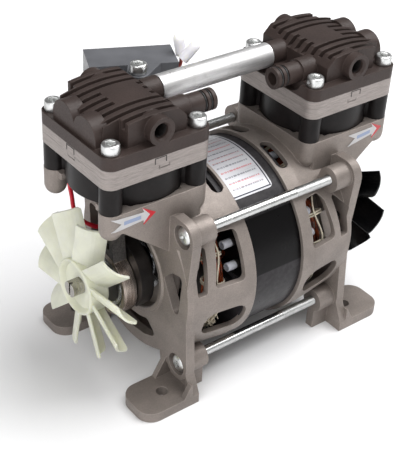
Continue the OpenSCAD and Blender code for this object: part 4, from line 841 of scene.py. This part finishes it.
class PUMP_OT_port_threads(bpy.types.Operator):
    """Cut the look of a pipe thread into both open ports"""

    bl_idname = "pump.port_threads"
    bl_label = "Port threads"

    def execute(self, context):
        form = bmesh.new()
        for side in ENDS.values():
            corners = thread(form, 3.9 * MM, -0.45 * MM, 0.9 * MM, 10, 32)
            put(form, corners, facing((0, 1, 0), (side * CYLINDER_X, -DECK_HALF + 2.4 * MM, 0.176)))
        close_up(form)
        bmesh.ops.reverse_faces(form, faces=form.faces)
        piece("port_threads", form, "port")
        return {"FINISHED"}


class PUMP_OT_windings(bpy.types.Operator):
    """Wind the coil ends of both sides of the motor"""

    bl_idname = "pump.windings"
    bl_label = "Windings"

    def execute(self, context):
        sizes = context.scene.pump_sizes
        chance = random.Random(sizes.seed)
        slots, coils, span = 24, 12, 5
        slot_angle = FULL_TURN / slots
        for end, side in ENDS.items():
            near, far = COIL_REACH[end]
            paths = []
            for coil in range(coils):
                start = coil * FULL_TURN / coils + slot_angle / 2
                outer = coil % 2
                middle_r = 0.0434 + 0.0044 * outer
                middle_x = far - 0.0045 - 0.0038 * outer
                for wire in range(sizes.wires):
                    ring = math.sqrt(wire / sizes.wires) * 0.0034
                    spot = wire * 2.4
                    off_r, off_x = ring * math.cos(spot), ring * math.sin(spot) * 1.15
                    path = []
                    lean = chance.uniform(-0.01, 0.01)
                    for share, reach, lift in (
                        (0, 0.038, -0.004), (0.01, 0.0385, 0.0006), (0.05, 0.4, 0.35), (0.13, 1, 0.85), (0.26, 1, 1),
                        (0.4, 1, 1), (0.5, 1, 1), (0.6, 1, 1), (0.74, 1, 1), (0.87, 1, 0.85), (0.95, 0.4, 0.35),
                        (0.99, 0.0385, 0.0006), (1, 0.038, -0.004),
                    ):
                        angle = start + share * span * slot_angle + lean
                        if reach < 0.1:
                            radius, x = reach + off_r * 0.35, STATOR_HALF + 0.0004 + lift
                            angle += off_x * 12
                        else:
                            radius = 0.0385 + (middle_r + off_r - 0.0385) * reach
                            x = STATOR_HALF + (middle_x + off_x - STATOR_HALF) * lift
                            radius += chance.uniform(-0.0005, 0.0005)
                            x += chance.uniform(-0.0005, 0.0005)
                        path.append(around(radius, angle, side * x))
                    paths.append(path)
            strands(end + "_coils", paths, sizes.wire_diameter, "wire", [end + "_winding"])
        return {"FINISHED"}


class PUMP_OT_slot_liners(bpy.types.Operator):
    """Put a rolled insulating sleeve at the mouth of most slots, leaving three in every twelve bare, on both sides of
    the motor
    """

    bl_idname = "pump.slot_liners"
    bl_label = "Slot liners"

    def execute(self, context):
        form = bmesh.new()
        radius, wall, reach = 2.6 * MM, 0.5 * MM, 8.6 * MM
        for side in ENDS.values():
            for slot in (s for s in range(24) if s % 12 not in (9, 10, 11)):
                corners = loft(
                    form,
                    [(radius - wall, 0), (radius, 0), (radius, reach - 0.4 * MM), (radius - 0.2 * MM, reach),
                     (radius - wall, reach - 0.2 * MM), (radius - wall, 4 * MM), (0, 4 * MM)],
                    20,
                )
                angle = math.radians(15 * slot + 2)
                put(form, corners, facing((side, 0, 0), around(0.0519, angle, side * (STATOR_HALF + 0.0004))))
        close_up(form)
        piece("slot_liners", form, "insulation", "housing", ["slot_caps"])
        return {"FINISHED"}


# Half of the outline of a plate's key, in millimetres from its middle and from the mounting plane.
KEY_GAP_OUTLINE = [(-3.8, 157.6), (-3.8, 161.2), (3.8, 161.2), (3.8, 157.6), (3.4, 157.6), (3.4, 160.8), (-3.4, 160.8), (-3.4, 157.6)]


class PUMP_OT_key_gap_shades(bpy.types.Operator):
    """Draw a thin dark strip round each key between the plates: painted shade for the open gap there"""

    bl_idname = "pump.key_seams"
    bl_label = "Key gap shades"

    def execute(self, context):
        form = bmesh.new()
        # The strip is painted shade: a dark solid foil where the gap round the key lies in shadow.
        depth = 0.00012
        for side in ENDS.values():
            for toward in (Vector((0, -1, 0)), Vector((0, 1, 0)), Vector((side, 0, 0))):
                along = Vector((0, 0, 1)).cross(toward)
                middle = Vector((side * CYLINDER_X, 0, 0)) + toward * (DECK_HALF + depth / 2) + along * side * 0.0006
                outline = [form.verts.new(middle + along * a * MM + Vector((0, 0, z * MM))) for a, z in KEY_GAP_OUTLINE]
                face = form.faces.new(outline)
                form.normal_update()
                bmesh.ops.solidify(form, geom=[face], thickness=depth)
        close_up(form)
        piece("key_gap_shades", form, "gap_shade")
        return {"FINISHED"}


class PUMP_OT_lacing(bpy.types.Operator):
    """Tie the coil ends with cord"""

    bl_idname = "pump.lacing"
    bl_label = "Lacing"

    def execute(self, context):
        sizes = context.scene.pump_sizes
        chance = random.Random(sizes.seed + 1)
        ties = 18
        for end, side in ENDS.items():
            near, far = COIL_REACH[end]
            middle_x, half_x = (near + far) / 2, (far - near) / 2 + 0.0006
            middle_r, half_r = 0.0456, 0.0064
            loops = []
            for tie in range(ties):
                angle = (tie + 0.35) * FULL_TURN / ties
                for strand in range(2):
                    path = []
                    for step in range(12):
                        turn = step * FULL_TURN / 12
                        swell = 1 + chance.uniform(-0.03, 0.03)
                        squareness = 1 / max(abs(math.cos(turn)), abs(math.sin(turn))) ** 0.45
                        radius = middle_r + half_r * math.cos(turn) * squareness * swell
                        x = middle_x + half_x * math.sin(turn) * squareness * swell * 0.93
                        drift = angle + (strand - 0.5) * 0.028 + 0.02 * math.sin(turn + tie)
                        path.append(around(radius, drift, side * x))
                    loops.append(path)
            strands(end + "_lacing_loops", loops, sizes.cord_diameter, "cord", [end + "_lacing"], True)
            run = []
            for step in range(ties * 4):
                angle = step * FULL_TURN / ties / 4
                sway = math.sin(step * FULL_TURN / 8) * 0.0022
                run.append(around(middle_r + half_r + 0.0007, angle, side * (middle_x + sway)))
            strands(end + "_running_cord", [run], sizes.cord_diameter, "cord", (), True)
        tuft = []
        for strand in range(64):
            path = [around(0.051, math.radians(-25 + chance.uniform(-5, 5)), -0.0405 + chance.uniform(-0.0035, 0.0035))]
            drift = Vector((chance.uniform(-1, 1), chance.uniform(-0.5, 0.3), chance.uniform(-1, 0.3))).normalized()
            for step in range(4):
                drift = (drift + Vector([chance.uniform(-0.9, 0.9) for _ in range(3)])).normalized()
                path.append(path[-1] + drift * 0.0012)
            tuft.append(path)
        strands("cord_ends", tuft, 0.00055, "cord")
        return {"FINISHED"}


def wrapped_foil(name, outline, width, height, cuts, wrap, thickness, finish):
    """A flat foil with that outline, cut across for bending, laid on a surface by wrap(u, v, thickness)."""
    form = bmesh.new()
    face = form.faces.new([form.verts.new((u * width, v * height, 0)) for u, v in outline])
    form.normal_update()
    if face.normal.z < 0:
        face.normal_flip()
    for axis, count, size in ((0, cuts[0], width), (1, cuts[1], height)):
        for cut in range(1, count):
            normal = Vector((1, 0, 0)) if axis == 0 else Vector((0, 1, 0))
            bmesh.ops.bisect_plane(
                form, geom=form.verts[:] + form.edges[:] + form.faces[:], plane_co=normal * size * cut / count,
                plane_no=normal, dist=WELD,
            )
    map_ = form.loops.layers.uv.new("UVMap")
    for face in form.faces:
        for loop in face.loops:
            loop[map_].uv = (loop.vert.co.x / width, loop.vert.co.y / height)
    for corner in form.verts:
        corner.co = wrap(corner.co.x / width, corner.co.y / height)
    form.normal_update()
    mesh_normal = sum((f.normal * f.calc_area() for f in form.faces), Vector())
    made = bmesh.ops.solidify(form, geom=form.faces[:], thickness=-thickness)
    del made
    bmesh.ops.recalc_face_normals(form, faces=form.faces)
    obj = piece(name, form, finish)
    obj["outward"] = tuple(mesh_normal.normalized())
    return obj


def rounded_outline(width, height, radius, steps=6):
    """A rounded rectangle in shares of its width and height."""
    points = []
    for middle_x, middle_y, first in (
        (width - radius, height - radius, 0), (radius, height - radius, 1), (radius, radius, 2), (width - radius, radius, 3),
    ):
        for step in range(steps + 1):
            angle = (first + step / steps) * math.pi / 2
            points.append(((middle_x + radius * math.cos(angle)) / width, (middle_y + radius * math.sin(angle)) / height))
    return points


class PUMP_OT_label(bpy.types.Operator):
    """Lay the rating label round the top of the core, with no words on it"""

    bl_idname = "pump.label"
    bl_label = "Label"

    def execute(self, context):
        thickness = context.scene.pump_sizes.sticker_thickness

        def wrap(u, v):
            radius = STATOR_RADIUS + 0.0003
            angle = math.radians(54) + v * LABEL_LENGTH / radius
            return around(radius, angle, LABEL_MIDDLE_X + (u - 0.5) * LABEL_WIDTH)

        wrapped_foil(
            "rating_label", rounded_outline(LABEL_WIDTH, LABEL_LENGTH, 0.003), LABEL_WIDTH, LABEL_LENGTH, (1, 28),
            wrap, thickness, "label",
        )
        return {"FINISHED"}


# Shares of the arrow's length and width: tail, notch, shaft and point.
ARROW = [(0, 0.86), (0.21, 0.5), (0, 0.14), (0.72, 0.28), (0.72, 0), (1, 0.5), (0.68, 1), (0.73, 0.72)]


class PUMP_OT_arrows(bpy.types.Operator):
    """Stick a plain flow arrow on the port side of each bracket"""

    bl_idname = "pump.arrows"
    bl_label = "Arrows"

    def execute(self, context):
        thickness = context.scene.pump_sizes.sticker_thickness
        wide, tall = 0.0285, 0.0112
        corner_x, corner_r = 0.099, 0.0065
        for name, start_x, middle_z, tilt in (("intake_arrow", -0.1025, 0.1276, 0), ("exhaust_arrow", 0.0705, 0.1262, 5)):
            lean = math.radians(tilt)

            def wrap(u, v):
                across, up = u * wide, (v - 0.5) * tall
                x = start_x + across * math.cos(lean) - up * math.sin(lean)
                z = middle_z + across * math.sin(lean) + up * math.cos(lean)
                past = max(0.0, abs(x) - corner_x)
                inward = corner_r - math.sqrt(max(corner_r**2 - past**2, 0))
                return Vector((x, -DECK_HALF - 0.00012 + inward, z))

            wrapped_foil(name, ARROW, wide, tall, (14, 1), wrap, thickness, "arrow")
        return {"FINISHED"}


class PUMP_OT_stage(bpy.types.Operator):
    """Set up the floor, which glows away from the pump as painted light, the soft lights, the white surround and the
    camera
    """

    bl_idname = "pump.stage"
    bl_label = "Stage"

    def execute(self, context):
        stage = context.scene.pump_stage
        form = bmesh.new()
        bmesh.ops.create_grid(form, x_segments=1, y_segments=1, size=6)
        mesh = bpy.data.meshes.new("floor")
        form.to_mesh(mesh)
        form.free()
        floor = bpy.data.objects.new("floor", mesh)
        context.collection.objects.link(floor)
        paper = Finish("floor paper")
        x, y, z = paper.axes()
        # The floor glows, more the farther it is from the pump, up to full at 1.1 m: painted light that whitens the
        # floor and lightens the shadows away from the pump.
        away = ((x * x + y * y) ** 0.5).stretch(0.15, 1.1)
        paper.set(
            base_color=srgb(240, 240, 241),
            roughness=paper.noise(9).stretch(0, 1, 0.5, 0.62),
            emission_color=paper.mix(away, (0, 0, 0), (1, 1, 1)),
            emission_strength=0.9,
        )
        mesh.materials.append(paper.material)
        target = Vector((0, 0, 0.09))
        for name, power, size, place in (
            ("key softbox", stage.key_light, 0.7, (-0.75, -0.35, 0.6)),
            ("top softbox", stage.top_light, 0.9, (0.42, -0.16, 1.08)),
            ("fill light", stage.fill_light, 0.8, (0.5, -0.95, 0.45)),
        ):
            light = bpy.data.lights.new(name, "AREA")
            light.energy, light.size = power, size
            lamp = bpy.data.objects.new(name, light)
            lamp.matrix_world = facing(Vector(place) - target, place)
            context.collection.objects.link(lamp)
        self.surround(stage.surround)
        self.camera(context)
        return {"FINISHED"}

    def surround(self, strength):
        """White to the camera and through transmission, and a plain level of light on the object."""
        world = bpy.data.worlds.new("surround")
        bpy.context.scene.world = world
        world.use_nodes = True
        tree = world.node_tree
        background = tree.nodes["Background"]
        rays = tree.nodes.new("ShaderNodeLightPath")
        seen = tree.nodes.new("ShaderNodeMath")
        seen.operation = "MAXIMUM"
        tree.links.new(rays.outputs["Is Camera Ray"], seen.inputs[0])
        tree.links.new(rays.outputs["Is Transmission Ray"], seen.inputs[1])
        level = tree.nodes.new("ShaderNodeMapRange")
        tree.links.new(seen.outputs[0], level.inputs[0])
        level.inputs[3].default_value, level.inputs[4].default_value = strength, 1
        background.inputs[0].default_value = (1, 1, 1, 1)
        tree.links.new(level.outputs[0], background.inputs[1])

    def camera(self, context):
        """The photograph's place and angle: a long lens above the intake end, slightly rolled."""
        azimuth, elevation, roll = (math.radians(a) for a in (-39.882, 34.315, 3.652))
        distance, right_shift, up_shift = 0.671041, -0.006907, -0.015995
        image_height, focal_pixels, sensor = 451, 1086.503, 36
        back = Vector((
            math.sin(azimuth) * math.cos(elevation), -math.cos(azimuth) * math.cos(elevation), math.sin(elevation)
        ))
        level = Vector((0, 0, 1)).cross(back).normalized()
        upright = back.cross(level)
        right = level * math.cos(roll) + upright * math.sin(roll)
        up = upright * math.cos(roll) - level * math.sin(roll)
        camera = bpy.data.cameras.new("camera")
        camera.sensor_width = sensor
        camera.lens = focal_pixels * sensor / image_height
        camera.clip_start, camera.clip_end = 0.01, 50
        holder = bpy.data.objects.new("camera", camera)
        matrix = Matrix((right, up, back)).transposed().to_4x4()
        matrix.translation = Vector((0, 0, 0.09)) + back * distance + right * right_shift + up * up_shift
        holder.matrix_world = matrix
        context.collection.objects.link(holder)
        context.scene.camera = holder
        context.scene.view_settings.view_transform = "Standard"


class PUMP_PT_panel(bpy.types.Panel):
    """The pump's pieces and settings"""

    bl_label = "Piston vacuum pump"
    bl_space_type = "VIEW_3D"
    bl_region_type = "UI"
    bl_category = "Pump"

    def draw(self, context):
        for operator in OPERATORS:
            self.layout.operator(operator.bl_idname)
        for group in (context.scene.pump_colours, context.scene.pump_sizes, context.scene.pump_stage):
            box = self.layout.box()
            for key in group.bl_rna.properties.keys():
                if key not in ("rna_type", "name"):
                    box.prop(group, key)


GROUPS = {"pump_colours": PumpColours, "pump_sizes": PumpSizes, "pump_stage": PumpStage}
OPERATORS = [
    PUMP_OT_finishes,
    PUMP_OT_head_screws,
    PUMP_OT_tie_bolts,
    PUMP_OT_port_threads,
    PUMP_OT_windings,
    PUMP_OT_slot_liners,
    PUMP_OT_key_gap_shades,
    PUMP_OT_lacing,
    PUMP_OT_label,
    PUMP_OT_arrows,
    PUMP_OT_stage,
]


def register():
    for cls in [*GROUPS.values(), *OPERATORS, PUMP_PT_panel]:
        bpy.utils.register_class(cls)
    for name, cls in GROUPS.items():
        setattr(bpy.types.Scene, name, PointerProperty(type=cls))


def unregister():
    for name in GROUPS:
        delattr(bpy.types.Scene, name)
    for cls in [PUMP_PT_panel, *reversed(OPERATORS), *GROUPS.values()]:
        bpy.utils.unregister_class(cls)


def main():
    register()
    for operator in OPERATORS:
        group, name = operator.bl_idname.split(".")
        getattr(getattr(bpy.ops, group), name)()


if __name__ == "__main__":
    main()
